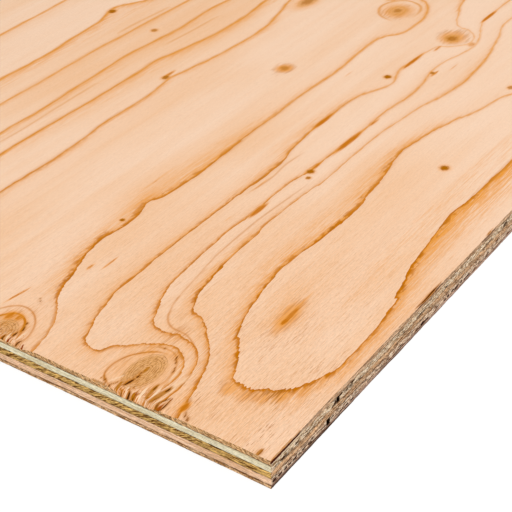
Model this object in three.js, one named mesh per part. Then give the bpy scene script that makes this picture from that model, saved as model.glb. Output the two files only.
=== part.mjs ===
// A five-ply softwood plywood sheet, in millimetres.
//
// +X runs along the sheet and the grain of its faces, +Y across the sheet and +Z
// out of its face. The origin is the middle of the back face, which lies on the
// floor. The near corner is the one at the lowest X and the lowest Y.

import * as THREE from "three";

// ---- Sheet ----

const sheetLength = 2440;
const sheetWidth = 1220;

// ---- Veneer thicknesses, from the face down ----

const faceThickness = 3.25;
const upperCrossbandThickness = 4.125;
const centreThickness = 4.25;
const lowerCrossbandThickness = 4.125;
const backThickness = 2.25;

// ---- Crossbands ----
// Their grain runs across the sheet, in strips laid side by side along it. The
// first strip of each is what the trimming saw left of a full one.

const fullStripWidth = 1219;
const upperFirstStripWidth = 59.25;
const lowerFirstStripWidth = 50;
const coreGap = 3;

// ---- Tear-outs of the face veneer, each placed from the near corner ----

// Splits that run in along the grain from the short edge, beside the knots.
const splits = [
  { at: 67.5, mouth: 3, depth: 11 },
  { at: 84, mouth: 2, depth: 6 },
  { at: 159.5, mouth: 2, depth: 3 },
  { at: 169.5, mouth: 2, depth: 5 },
];
// Slivers lifted off the long edge. Each one's ends slant in over its run-out.
const slivers = [
  { at: 146, length: 24.5, depth: 1, runOut: 6 },
  { at: 228, length: 13, depth: 0.75, runOut: 4 },
];

// ---- Finishes ----

const faceFinish = wood(0xf3cba4, 0.6);
const crossbandFinish = wood(0xe0d2b4, 0.8);
const centreFinish = wood(0xb08a55, 0.8);
const backFinish = wood(0xc29a7c, 0.75);

/** A bare wood material. */
function wood(color, roughness) {
  return new THREE.MeshStandardMaterial({ color, roughness, metalness: 0 });
}

/**
 * The nearest length that 32-bit numbers hold exactly, so that two veneers glued
 * face to face share one plane and neither gap nor overlap.
 */
function exact(length) {
  const stepsPerMillimetre = 1024;
  return Math.round(length * stepsPerMillimetre) / stepsPerMillimetre;
}

/** A closed outline through points measured from the near corner. */
function outlineFromCorner(points) {
  const corner = new THREE.Vector2(-sheetLength / 2, -sheetWidth / 2);
  return new THREE.Shape(
    points.map(([along, across]) => new THREE.Vector2(along, across).add(corner)),
  );
}

/** A strip of the sheet's full width between two places along it. */
function stripOutline(from, to) {
  return outlineFromCorner([
    [from, 0],
    [to, 0],
    [to, sheetWidth],
    [from, sheetWidth],
  ]);
}

/** The points of a sliver's notch in the long edge, in the order of the outline. */
function sliverPoints({ at, length, depth, runOut }) {
  return [
    [at, 0],
    [at + runOut, depth],
    [at + length - runOut, depth],
    [at + length, 0],
  ];
}

/** The points of a split in the short edge, in the order of the outline. */
function splitPoints({ at, mouth, depth }) {
  return [
    [0, at + mouth / 2],
    [depth, at],
    [0, at - mouth / 2],
  ];
}

/** The face veneer's outline, with its tear-outs. */
function faceOutline() {
  return outlineFromCorner([
    [0, 0],
    ...slivers.flatMap(sliverPoints),
    [sheetLength, 0],
    [sheetLength, sheetWidth],
    [0, sheetWidth],
    ...splits.toReversed().flatMap(splitPoints),
  ]);
}

/** One veneer, or a strip of one, extruded up from the level it is glued at. */
function veneer(name, outline, thickness, level, material) {
  const geometry = new THREE.ExtrudeGeometry(outline, {
    depth: thickness,
    bevelEnabled: false,
  });
  const mesh = new THREE.Mesh(geometry, material);
  mesh.name = name;
  mesh.position.z = level;
  return mesh;
}

/** A crossband's strips, a core gap apart, from the near end to the far one. */
function crossband(name, firstStripWidth, thickness, level) {
  const strips = new THREE.Group();
  let from = 0;
  let width = firstStripWidth;
  while (from < sheetLength) {
    const to = Math.min(from + width, sheetLength);
    const stripName = `${name}_strip_${strips.children.length + 1}`;
    const outline = stripOutline(from, to);
    strips.add(veneer(stripName, outline, thickness, level, crossbandFinish));
    from = to + coreGap;
    width = fullStripWidth;
  }
  return strips;
}

/** The whole sheet, laid up from the back veneer to the face veneer. */
function plywoodSheet() {
  const sheet = new THREE.Group();
  const wholeSheet = stripOutline(0, sheetLength);
  let level = 0;

  /** Lays the next ply on those below: lay makes it at a thickness and a level. */
  const addPly = (nominalThickness, lay) => {
    const thickness = exact(nominalThickness);
    sheet.add(lay(thickness, level));
    level += thickness;
  };

  addPly(backThickness, (t, z) =>
    veneer("back_veneer", wholeSheet, t, z, backFinish),
  );
  addPly(lowerCrossbandThickness, (t, z) =>
    crossband("lower_crossband", lowerFirstStripWidth, t, z),
  );
  addPly(centreThickness, (t, z) =>
    veneer("centre_veneer", wholeSheet, t, z, centreFinish),
  );
  addPly(upperCrossbandThickness, (t, z) =>
    crossband("upper_crossband", upperFirstStripWidth, t, z),
  );
  addPly(faceThickness, (t, z) =>
    veneer("face_veneer", faceOutline(), t, z, faceFinish),
  );
  return sheet;
}

export default plywoodSheet();
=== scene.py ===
"""A plywood sheet: nine peeled veneers with growth rings, knots, splits and sawn edges."""

import logging
import math
from dataclasses import dataclass, field, replace
from enum import Enum
from functools import partial, reduce
from typing import Callable, Iterable, Sequence, Union

import bmesh
import bpy
import numpy as np
from mathutils import Matrix, Vector


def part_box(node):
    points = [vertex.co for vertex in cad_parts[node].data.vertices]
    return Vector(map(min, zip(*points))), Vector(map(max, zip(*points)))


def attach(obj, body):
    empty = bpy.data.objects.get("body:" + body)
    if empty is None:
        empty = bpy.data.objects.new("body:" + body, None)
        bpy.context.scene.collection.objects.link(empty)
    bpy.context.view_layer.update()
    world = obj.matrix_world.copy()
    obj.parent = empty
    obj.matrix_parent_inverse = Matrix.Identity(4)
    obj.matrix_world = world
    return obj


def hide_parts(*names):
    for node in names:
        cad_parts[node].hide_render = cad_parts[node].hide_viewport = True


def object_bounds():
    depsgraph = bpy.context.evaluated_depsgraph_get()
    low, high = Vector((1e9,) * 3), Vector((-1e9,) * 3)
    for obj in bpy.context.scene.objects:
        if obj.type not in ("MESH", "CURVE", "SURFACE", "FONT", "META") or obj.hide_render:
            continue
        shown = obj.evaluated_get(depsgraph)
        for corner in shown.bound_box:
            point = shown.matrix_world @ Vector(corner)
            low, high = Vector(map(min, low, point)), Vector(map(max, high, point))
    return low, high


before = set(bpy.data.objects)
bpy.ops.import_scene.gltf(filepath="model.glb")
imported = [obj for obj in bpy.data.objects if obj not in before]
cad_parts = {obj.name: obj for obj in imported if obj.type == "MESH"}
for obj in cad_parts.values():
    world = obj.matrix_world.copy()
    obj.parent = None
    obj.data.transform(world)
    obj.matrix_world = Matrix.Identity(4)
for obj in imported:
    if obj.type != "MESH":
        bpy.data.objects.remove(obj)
solid_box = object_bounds()

LOG = logging.getLogger("plywood")
MM = 0.001
BODY = "root"
TINY = 1e-6
PLACES_AT_ONCE = 8000

Colour = tuple[float, float, float]
Point = tuple[float, float]
Array = np.ndarray
Mesh = bpy.types.Mesh
Material = bpy.types.Material
Socket = bpy.types.NodeSocket
Feed = Union[Socket, float, tuple]


# ---- The sheet's own sizes ----


def sheet_corner() -> Array:
    """Returns the near corner's place along and across the sheet, in metres."""
    return np.array([solid_box[0][0], solid_box[0][1]])


def sheet_size() -> Point:
    """Returns the sheet's length and width in mm."""
    low, high = solid_box
    return round((high[0] - low[0]) / MM, 3), round((high[1] - low[1]) / MM, 3)


def ply_levels(node: str) -> Point:
    """Returns the heights of a veneer's bottom and top, in mm from the floor."""
    low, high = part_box(node)
    return round(low.z / MM, 3), round(high.z / MM, 3)


# ---- Wood, as numbers ----


def soft_step(value: Array, low: float, high: float) -> Array:
    """Returns 0 below low, 1 above high and a smooth climb between."""
    share = np.clip((value - low) / (high - low), 0.0, 1.0)
    return share * share * (3.0 - 2.0 * share)


def waves(x: Array, y: Array, seed: int, length: float, width: float) -> Array:
    """A smooth random field of about unit size.

    Args:
        x: places along the sheet, in mm.
        y: places across the sheet, in mm.
        seed: which field.
        length: how far it stays alike along x, in mm.
        width: how far it stays alike along y, in mm.

    Returns:
        One value for each place.
    """
    count = 40
    draw = np.random.RandomState(seed)
    turns = draw.normal(size=(count, 2)) / np.array([length, width])
    starts = draw.uniform(0.0, 2.0 * np.pi, count)
    total = np.zeros(np.shape(x))
    for (along, across), start in zip(turns, starts):
        total = total + np.cos(along * x + across * y + start)
    return total * math.sqrt(2.0 / count)


def slopes(surface: Callable, x: Array, y: Array) -> tuple[Array, Array]:
    """Returns how much a surface climbs in each mm along the sheet and across it."""
    run = surface(x + 0.5, y) - surface(x - 0.5, y)
    return run, surface(x, y + 0.5) - surface(x, y - 0.5)


def smooth_curve(points: Sequence[Point], step: float) -> Array:
    """Draws a smooth curve through points.

    Args:
        points: the points, in mm.
        step: the greatest distance between two places on the curve, in mm.

    Returns:
        Places along the curve, from the first point to the last.
    """
    own = np.asarray(points, float)
    ends = np.vstack([2.0 * own[0] - own[1], own, 2.0 * own[-1] - own[-2]])
    runs = []
    for a, b, c, d in zip(ends, ends[1:], ends[2:], ends[3:]):
        count = max(1, int(np.ceil(np.hypot(*(c - b)) / step)))
        t = np.linspace(0.0, 1.0, count, endpoint=False)[:, None]
        bend = 2.0 * a - 5.0 * b + 4.0 * c - d
        runs.append(b + 0.5 * ((c - a) * t + bend * t**2 + (3.0 * b - a - 3.0 * c + d) * t**3))
    return np.vstack(runs + [own[-1:]])


@dataclass(frozen=True)
class GrowthLine:
    """The dark end of one year's ring, drawn on the face in mm from the near corner.

    The level is the number of the ring that ends there. bloom says how much orange late
    wood lies on its inner side and how strong the line is: 0 is a thin pale line, 1 has a
    full orange band, more than 1 a wider one, and below 0 the line fades out.
    """

    level: int
    bloom: float
    points: tuple[Point, ...]


@dataclass(frozen=True)
class Knot:
    """A knot, in mm from the near corner.

    rings is how many rings it shows, dark how dark it is, from 0 to 1, and heart how wide
    its dark heart is, as a share of the knot.
    """

    x: float
    y: float
    length: float
    width: float
    rings: float = 0.0
    dark: float = 1.0
    heart: float = 1.0

    def radius(self, x: Array, y: Array) -> Array:
        """Returns the distance from the knot's centre, as a share of its own half size."""
        return np.hypot((x - self.x) / (0.5 * self.length), (y - self.y) / (0.5 * self.width))


class Tone(Enum):
    """What a streak is made of. Each value names what the mesh keeps of that kind."""

    RESIN = "resin"
    GLOW = "glow"
    OCHRE = "ochre"
    # Dark with painted shade inside the cracks.
    CRACK = "crack"
    # Pale wood, and painted highlight on lifted fibre lips.
    PALE_AND_HIGHLIGHT = "pale"


@dataclass(frozen=True)
class Streak:
    """A lens of resin, staining, bare wood or crack, in mm from the near corner.

    It lies along the grain, or turned from it by some degrees. A crack is dark with painted
    shade, and a pale lens is partly painted highlight.
    """

    x: float
    y: float
    length: float
    width: float
    strength: float = 1.0
    turn: float = 0.0
    tone: Tone = Tone.RESIN

    def amount(self, x: Array, y: Array) -> Array:
        """Finds the streak, which is full up to half way out and gone half as far past its rim.

        Args:
            x: places along the sheet.
            y: places across it.

        Returns:
            How much of it there is at each place, from 0 to its strength.
        """
        angle = math.radians(self.turn)
        along = (x - self.x) * math.cos(angle) + (y - self.y) * math.sin(angle)
        across = (y - self.y) * math.cos(angle) - (x - self.x) * math.sin(angle)
        far = np.hypot(along / (0.5 * self.length), across / (0.5 * self.width))
        return self.strength * np.clip(1.6 - 1.1 * far, 0.0, 1.0)


def rows_of(kind: Callable, *rows: tuple) -> tuple:
    """Returns one thing of a kind for each row of its numbers."""
    return tuple(kind(*row) for row in rows)


def streaks_of(tone: Tone, *rows: tuple[float, ...]) -> tuple[Streak, ...]:
    """Returns streaks of one tone from rows of x, y, length, width, strength and turn."""
    return rows_of(partial(Streak, tone=tone), *rows)


@dataclass(frozen=True)
class Arc:
    """A thin orange line round a knot or inside a ring, in mm from the near corner."""

    strength: float
    points: tuple[Point, ...]

    def gap(self, x: Array, y: Array) -> tuple[Array, Array]:
        """Measures how far places are from the line.

        Args:
            x: places along the sheet.
            y: places across it.

        Returns:
            The distance in mm, with a sign for the side, and the line's strength there. It
            fades in the first and the last sixth of the line and 2 to 3 mm past its ends.
        """
        trace = smooth_curve(self.points, 2.0)
        spot = np.hypot(x[:, None] - trace[None, :, 0], y[:, None] - trace[None, :, 1])
        nearest = np.clip(spot.argmin(1), 1, len(trace) - 2)
        way = trace[nearest + 1] - trace[nearest - 1]
        way /= np.maximum(np.hypot(way[:, 0], way[:, 1]), TINY)[:, None]
        off = np.column_stack([x, y]) - trace[nearest]
        side = way[:, 0] * off[:, 1] - way[:, 1] * off[:, 0]
        along = np.abs(way[:, 0] * off[:, 0] + way[:, 1] * off[:, 1])
        sixths = 6.0 * nearest / len(trace)
        inner = np.clip(np.minimum(sixths, 6.0 - sixths), 0.0, 1.0)
        return side, self.strength * (inner * np.clip(3.0 - along, 0.0, 1.0))


@dataclass(frozen=True)
class Shade:
    """A wide soft patch of paler wood, or darker if its strength is below 0; some are painted sheen."""

    x: float
    y: float
    length: float
    width: float
    strength: float

    def amount(self, x: Array, y: Array) -> Array:
        """Returns how much paler each place is."""
        gap = ((x - self.x) / self.length) ** 2 + ((y - self.y) / self.width) ** 2
        return self.strength * np.exp(-gap)


@dataclass(frozen=True)
class Split:
    """A split that runs in from the near short edge, in mm from the near corner.

    y is where it starts, mouth its width there, depth how far in it runs and rise how much
    further across the sheet its tip is.
    """

    y: float
    mouth: float
    depth: float
    rise: float = 0.0

    def inside(self, x: Array, y: Array) -> Array:
        """Finds the split.

        Args:
            x: places along the sheet.
            y: places across it.

        Returns:
            1 in the middle of the split, falling to 0 at its lips.
        """
        left = np.clip(1.0 - x / self.depth, 0.0, 1.0)
        half = 0.5 * self.mouth * left + TINY
        middle = self.y + self.rise * x / self.depth
        return np.clip(1.5 * (1.0 - np.abs(y - middle) / half), 0.0, 1.0) * (left > 0.0)


@dataclass(frozen=True)
class Tear:
    """A place where an edge of the face veneer has torn away in a slope, in mm.

    It runs from start to end along the edge, reaches in by back and sinks by drop. bare,
    from 0 to 1, is how much of the coarse torn wood shows.
    """

    start: float
    end: float
    back: float
    drop: float
    bare: float = 1.0

    def share(self, along: Array) -> Array:
        """Finds the tear, which fades over a third of its length at either end.

        Args:
            along: places along the edge, in mm.

        Returns:
            How much of the tear there is at each, from 0 to 1.
        """
        fade = 0.35 * (self.end - self.start)
        rise = soft_step(along, self.start - 0.1, self.start + fade)
        return rise * (1.0 - soft_step(along, self.end - fade, self.end))


GROWTH_LINES = (
    GrowthLine(0, 0.2, ((440, 52), (418, 60), (395, 69.5), (380, 72.5), (360, 77), (350, 81), (330, 86))),
    GrowthLine(0, 0.75, ((330, 86), (310, 89.2), (290, 91.2), (270, 88))),
    GrowthLine(0, 1.0, (
        (270, 88), (250, 84), (230, 82.5), (218, 80), (200, 79.8), (170, 81), (140, 83.2),
        (120, 81.3), (100, 77.6), (80, 72.2), (70, 67.2), (60, 60.4), (50, 54.8), (41, 49.8),
        (38.5, 42), (39, 36), (43, 30.5), (47, 23.5), (52, 18.8), (60, 15.8), (74, 10.5), (84, 9.8),
        (105, 9.8), (120, 11.2))),
    GrowthLine(0, 0.95, ((120, 11.2), (140, 13.5), (150, 16.3))),
    GrowthLine(0, 1.2, ((150, 16.3), (170, 21.4), (200, 25.7))),
    GrowthLine(0, 1.5, (
        (200, 25.7), (230, 28.6), (243, 29.2), (258, 27.3), (300, 26.8), (330, 26.2), (380, 24))),
    GrowthLine(-1, 0.55, (
        (-6, 53.5), (1, 55), (10, 57), (20, 60.1), (30, 62.8), (40, 66.7), (50, 71.7), (60, 80.4),
        (66, 86), (71, 91.2), (73.3, 96), (75, 100.8), (80, 104.5), (90, 108.8), (100, 110.5))),
    GrowthLine(-1, 0.95, ((100, 110.5), (120, 113.1), (140, 114.8), (158, 115))),
    GrowthLine(-1, 0.12, (
        (158, 115), (168, 116.8), (190, 116.6), (210, 115.8), (230, 114), (250, 114.9), (270, 115.7),
        (300, 115.4), (320, 114.2), (350, 111.3), (370, 106.8), (385, 104.3))),
    GrowthLine(-1, 0.65, ((385, 104.3), (400, 102.8), (420, 104), (440, 105.7), (455, 108.3))),
    GrowthLine(-1, 0.1, (
        (455, 108.3), (470, 112), (490, 116.6), (505, 121.4), (520, 122.2), (560, 120))),
    GrowthLine(-2, 0.45, (
        (-6, 69.5), (8, 68.8), (18, 68.5), (25, 68.8), (32, 69.9), (42, 74), (49.5, 80.5), (53, 87),
        (53.8, 92), (52.8, 99), (51.9, 105), (53.5, 111), (60, 116.2), (70, 120.8), (80, 125),
        (92, 127.5), (110, 129.3), (130, 130.6), (150, 131.5), (170, 130.8), (190, 130.8),
        (215, 131), (230, 129.2), (245, 128.4), (262, 127.8), (285, 127), (310, 127.4),
        (340, 127))),
    GrowthLine(-2, 0.35, (
        (340, 127), (365, 125.4), (395, 128.4), (410, 131), (428, 130.6), (440, 127.2),
        (458, 124.2), (470, 125), (480, 128), (492, 133.4), (505, 137.8), (517, 139.4),
        (560, 138.5))),
    GrowthLine(-3, 0.55, (
        (-6, 77.5), (4, 76.2), (14, 74.9), (24, 74), (34, 77), (41, 82.5), (44.6, 88), (44.8, 93),
        (43, 98.6), (40.5, 103), (36, 109), (30, 115.5), (27, 120), (21.5, 122.6), (19.9, 126),
        (21.5, 131.8), (26, 135.5), (35, 139.7), (45, 143.4), (60, 147), (70, 149.2), (90, 149.1),
        (110, 150.3), (150, 150.2), (180, 150.6), (215, 149.3))),
    GrowthLine(-3, 0.8, (
        (215, 149.3), (238, 150.2), (248, 152.2), (262, 154.4), (285, 156.4), (310, 157))),
    GrowthLine(-3, 0.3, (
        (310, 157), (328, 157), (345, 154.8), (357, 150.5), (368, 145.8), (378, 146), (390, 149.9),
        (400, 152), (415, 150), (432, 149.8), (446, 147))),
    GrowthLine(-3, -1.0, (
        (446, 147), (452, 138), (460, 131), (470, 129), (480, 133), (486, 142), (488, 151),
        (500, 158.2))),
    GrowthLine(-3, 0.5, ((492, 154), (500, 158.2), (520, 165.6), (535, 170), (570, 178))),
    GrowthLine(-4, 0.2, (
        (-6, 151.5), (4, 152.5), (15, 155), (25, 158.5), (32, 163), (40, 169), (48, 174.5))),
    GrowthLine(-4, 0.8, (
        (48, 174.5), (58, 178), (66, 180), (74, 183.2), (85, 187), (100, 189.5), (108, 189.7), (116, 188),
        (130, 187.8), (140, 189.6), (149, 192.9), (158, 189.2), (172, 187.2))),
    GrowthLine(-4, 1.25, ((172, 187.2), (200, 186.4), (230, 187.7))),
    GrowthLine(-4, 0.8, ((230, 187.7), (260, 189.4))),
    GrowthLine(-4, 0.45, (
        (260, 189.4), (300, 189.6), (325, 190.8), (370, 189.1), (400, 191.6),
        (425, 192.5), (439, 191), (449, 183.6), (458, 180.5), (475, 180), (490, 181),
        (505, 186.5), (515, 193.5), (520, 203), (516, 214), (505, 221))),
    GrowthLine(-4, 0.55, (
        (60, 276), (110, 280), (160, 279.8), (190, 281), (215, 284), (260, 283.2), (280, 285.5),
        (295, 287.8), (310, 285), (330, 282.3), (360, 279), (400, 278), (420, 280.8), (440, 286),
        (455, 290), (480, 295))),
    GrowthLine(-3, 0.75, (
        (100, 311), (150, 314.2), (200, 314.2), (240, 313), (290, 313.2), (312, 314.4), (330, 311),
        (350, 308), (370, 304.8), (395, 303.5), (420, 304.5), (450, 308), (490, 310))),
    GrowthLine(-2, 0.6, (
        (130, 332), (170, 334.2), (200, 333.5), (250, 336.5), (280, 337.6), (310, 339), (340, 336.5),
        (370, 335), (410, 336.6), (435, 334.5), (480, 333))),
    GrowthLine(-1, 0.4, (
        (150, 361), (200, 363.8), (250, 364.3), (300, 365.3), (340, 363.8), (380, 363), (415, 362),
        (460, 361))),
    GrowthLine(0, 0.8, (
        (190, 391), (225, 392.2), (260, 391.2), (285, 392), (310, 394.5), (345, 397), (358, 401.5),
        (372, 404.5), (385, 400), (400, 391), (430, 386))),
    GrowthLine(1, 0.5, ((250, 446), (290, 447), (325, 448), (362, 449), (420, 447))),
)

# Levels of the ring surface between the lines, as (x, y, level), x and y as in the lines.
RING_PINS = (
    (100, 54.5, 0.93), (85, 53.5, 0.8), (118, 56.5, 0.85), (60, 45, 0.45), (70, 30, 0.4),
    (170, 58, 0.7), (230, 58, 0.65), (300, 58, 0.7), (360, 55, 0.6), (20, 40, -0.35),
    (12, 20, -0.4), (20, 5, -0.55), (60, 5, -0.35), (100, 3, -0.25), (8, 140, -3.35),
    (10, 125, -3.4), (8, 110, -3.3), (60, 240, -4.55), (150, 235, -4.6), (250, 235, -4.6),
    (350, 235, -4.6), (430, 235, -4.6), (30, 200, -4.4), (465, 145, -3.3), (487, 204, -4.5),
    (15, 180, -4.2), (22, 92, -3.5), (12, 92, -3.5), (32, 92, -3.45), (60, 96, -1.75),
    (24, 104, -3.35), (24, 80, -3.3), (320, 470, 1.35), (344, 470, 1.4), (380, 475, 1.45),
    (304, 466, 1.3), (330, 487, 1.5), (380, 500, 1.6), (345, 515, 1.7), (300, 485, 1.4),
)

KNOTS = (
    Knot(19.8, 91.6, 31, 18, rings=8, dark=0.7, heart=0.1),
    Knot(4, 178, 22, 17, rings=6, dark=0.7, heart=0.1),
    Knot(489, 205.5, 20, 16, dark=0.6, heart=0.4),
    Knot(464.6, 144.4, 15, 13, dark=0.75, heart=0.62),
    Knot(467, 277, 28, 13, dark=0.65, heart=0.6),
    Knot(236.5, 128, 5.5, 5.1),
    Knot(229, 125, 3.6, 3.2, dark=0.8),
    Knot(381, 153.5, 6, 5.4),
    Knot(126, 193.5, 3.4, 3),
    Knot(286.5, 58, 6.4, 5.8),
    Knot(366, 401, 7, 6.5),
    Knot(353, 225, 7, 7, dark=0.45),
    Knot(294, 290.5, 7, 5, dark=0.85),
    Knot(355, 349, 5.6, 5, dark=0.6),
    Knot(404, 129, 4, 3.5, dark=0.7),
    Knot(413, 71, 6, 4, dark=0.6),
)

STREAKS = (
    *streaks_of(
        Tone.RESIN,
        (94.5, 54.2, 8, 3), (102, 54.6, 18, 3.2, 0.75, 3), (115.5, 55.5, 22, 1.8, 0.5, 3),
        (300, 291.5, 14, 3.2, 0.8), (180, 129.8, 20, 3.2), (283, 127.6, 36, 4.2),
        (298, 157.2, 26, 3.6), (413, 150.5, 30, 3.2), (517, 138.6, 26, 3.2),
        (404, 127.3, 12, 2.4, 0.7), (443, 145.4, 12, 2.4, 0.65), (463, 127, 9, 4.6, 0.6),
        (17, 183.5, 8, 5, 0.9), (18.6, 178, 6, 5, 0.7), (86, 170, 15, 1.6, 0.8),
        (77, 177, 7, 1.9, 0.8), (175, 205, 40, 2.2, 0.35), (421, 120.5, 16, 1.6, 0.4),
        (316, 126.7, 14, 2, 0.7), (33.8, 193.3, 19, 1.8, 0.75, -8), (207, 146, 20, 1.6, 0.45),
        (370, 180, 12, 1.5, 0.4), (162, 140, 8, 1.2, 0.4), (8.5, 57.2, 8.5, 3.4),
        (243, 128.4, 14, 2.4, 0.8), (404, 278.6, 20, 2.4, 0.5)),
    *streaks_of(
        Tone.GLOW,
        (99.5, 55.2, 32, 11, 1.0, 6), (353, 225, 17, 14), (469, 144.5, 28, 22, 0.75),
        (487, 205, 30, 24, 0.6), (32.5, 47, 12, 9, 0.8), (31.5, 38, 10, 10, 0.65),
        (35, 29.5, 9, 10, 0.65), (41, 21, 9, 8, 0.65), (51, 14.5, 13, 6, 0.5),
        (16, 181, 18, 14, 0.7), (30, 175.6, 15, 10, 0.3), (38.6, 85, 9, 15, 0.42),
        (34, 101.4, 15, 8, 0.42), (17, 105, 17, 8, 0.34), (21, 76.6, 18, 6, 0.34),
        (9, 57.6, 11, 5, 0.9), (52, 97, 22, 12, 0.42), (9, 174, 24, 20, 0.4)),
    *streaks_of(
        Tone.OCHRE,
        (2.2, 8, 7, 2.2), (9.5, 78.6, 14, 2.2, 1.0, 5), (9.5, 73.4, 18, 3.0, 1.0, -12),
        (1.5, 84.6, 6, 1.7, 1.0, 15), (3.5, 95.4, 8, 2.4, 0.8, 8), (22, 91.9, 4.6, 1.8, 0.95),
        (3.4, 107, 2.2, 1.2, 0.8, 15), (3, 63.5, 6, 1.0, 0.5, -5), (12, 96.5, 8, 1.2, 0.4)),
    # Cracks, sunk in the mesh and painted near black as shade; two lie along torn lips of the long edge.
    *streaks_of(
        Tone.CRACK,
        (35.9, 178.5, 1.6, 1.1, 0.45), (38, 180.4, 1.4, 1, 0.35), (2.4, 7.5, 5, 0.8, 0.6),
        (2, 8.8, 4, 0.6, 0.6), (12.5, 78.9, 4, 0.6, 0.8, 5), (14.6, 72.4, 4, 0.8, 0.9, -12),
        (5, 73.6, 8, 0.5, 0.7, -14), (1, 87.2, 4.5, 1.2, 1.0, 15), (-0.5, 83.7, 4, 0.7, 0.9, 15),
        (8.8, 93, 6.4, 1.3, 1.0, -15), (15, 91.9, 3, 0.9, 0.9), (37, 84, 5, 0.8, 0.55, 25),
        (28.5, 79.5, 5, 0.6, 0.6, 15), (4.4, 98.6, 4, 0.5, 0.7, -30), (12, 168.8, 4.6, 0.7, 0.8, 22),
        (16.6, 170.8, 2, 1, 0.8, 22), (6.4, 169.7, 4, 0.9, 0.9), (2, 163.4, 5, 0.8, 0.8, -20),
        (0.5, 173.6, 5, 1.2, 0.9), (41.1, 97.8, 1, 1.6, 0.7, -8), (40.6, 94.6, 1.4, 1, 0.6),
        (18, 92.4, 2, 0.8, 0.7), (34.6, 82.6, 3, 0.6, 0.5, 30), (1.5, 99.8, 4, 0.6, 0.7, 20),
        (0.5, 91.6, 3, 0.6, 0.8, 25), (1.8, 69.6, 6, 1.6, 0.5, 18), (7, 69.1, 9, 1.4, 0.5, -28),
        (4.4, 66.4, 8, 0.8, 1.0, 2), (4.5, 53.8, 3, 0.7, 0.7, 25), (158, 0.75, 25, 0.7, 0.8),
        (234, 0.4, 12, 0.8, 0.5), (2.5, 51, 4, 0.9, 0.7, 25), (3.6, 104.6, 5, 0.6, 0.7, 45)),
    # Pale lenses round the knots and splits: a band of pale wood, and painted highlights on the lips.
    *streaks_of(
        Tone.PALE_AND_HIGHLIGHT,
        (6, 70.9, 13, 1.2, 0.9, -12), (6.6, 67.3, 8, 0.9, 1.0, -2), (20, 70.6, 26, 3.6, 0.6, -4),
        (10, 76, 13, 1.4, 0.9, 3), (6, 81.6, 10, 1.8, 0.9, 10), (3, 89.6, 7, 1.3, 0.8, 12),
        (26, 76.6, 20, 1.8, 0.6, 8), (8, 100, 12, 1.6, 0.6, -25), (7, 165.6, 11, 1.2, 0.8),
        (3, 171.4, 7, 1.1, 0.8, 10), (3, 167, 6, 0.8, 0.7, 12)),
)

ARCS = (
    Arc(0.8, (
        (0, 97), (1.5, 100.5), (3, 103), (5, 106), (8, 108), (12, 109), (17, 109), (22, 108),
        (27, 105.5), (30.5, 102.5), (34, 99), (36.5, 95), (37.5, 91))),
    Arc(0.5, (
        (38, 69), (43.5, 74.5), (50.8, 82.8), (55.5, 91), (56.6, 98), (57.5, 103.6), (63, 109.6),
        (72, 113.6), (84, 116.6), (100, 119))),
    Arc(0.4, (
        (70, 113), (84, 116.6), (100, 119), (116, 121.4), (130, 123), (170, 124), (210, 122), (225, 121))),
    Arc(0.45, ((0, 84), (10, 80), (20, 77.6), (30, 79.5), (37, 84), (40.5, 90), (40, 97), (36, 103))),
    Arc(1.6, ((2, 190), (8, 190.5), (14, 188), (20, 183), (20.5, 178), (17, 172), (10, 168.5), (3, 166))),
    Arc(0.6, ((-2, 161), (8, 162), (18, 166), (25, 173), (27.5, 180), (26, 187), (20, 192), (14, 196))),
    Arc(0.7, (
        (468, 196), (474, 213), (488, 221), (503, 218), (511, 208), (508, 196), (498, 190), (484, 189))),
    Arc(0.4, ((140, 325.5), (180, 325), (220, 326.5), (265, 327.5))),
    Arc(0.35, ((335, 326), (365, 323.5), (405, 322))),
    Arc(0.35, ((330, 370), (360, 369.5), (400, 367))),
    Arc(0.4, ((190, 147), (215, 145), (235, 146.5), (255, 145))),
)

SPLITS = (
    Split(67.9, 3.6, 12, -1.8), Split(84, 2, 6), Split(159.5, 2, 3), Split(169.5, 2, 5),
    Split(87.6, 1.4, 4), Split(174, 1.6, 4))

LONG_TEARS = (Tear(-14, 34, 0.9, 0.5), Tear(144, 171, 0.8, 0.8), Tear(227, 242, 0.9, 0.7))

SHORT_TEARS = (
    Tear(55, 68, 1.4, 0.9, 0.0), Tear(64, 101, 2.6, 2.6, 0.0), Tear(99, 113, 1.2, 0.9),
    Tear(150, 182, 1.8, 1.6, 0.2))

# Paler and darker patches of face; those round x 520, y 135 are painted sheen for glare there.
SHADES = rows_of(
    Shade,
    (60, 195, 46, 30, 0.3), (24, 138, 30, 20, 0.25), (385, 340, 70, 40, -0.5),
    (300, 340, 110, 70, -0.4), (240, 186, 40, 16, -0.35), (170, 200, 50, 12, -0.25),
    (50, 97, 26, 10, -0.6), (520, 132, 44, 22, 0.7), (454, 128, 40, 14, 0.3),
    (90, 25, 40, 20, 0.15), (530, 140, 34, 26, 0.6), (28, 12, 26, 16, 0.3), (12, 48, 14, 12, -0.25),
    (30, 62, 14, 8, 0.2), (38, 100, 16, 12, -0.25), (10, 128, 20, 14, -0.25),
    (262, 186, 50, 30, -0.2), (330, 180, 40, 30, -0.15), (112, 207, 40, 12, 0.35),
    (251, 98, 30, 14, -0.3), (175, 113, 50, 14, -0.35), (225, 303, 70, 26, -0.3),
    (319, 241, 30, 20, -0.2), (480, 198, 30, 20, -0.2), (520, 134, 30, 20, 0.3),
    (100, 182, 50, 8, -0.25))


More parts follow.
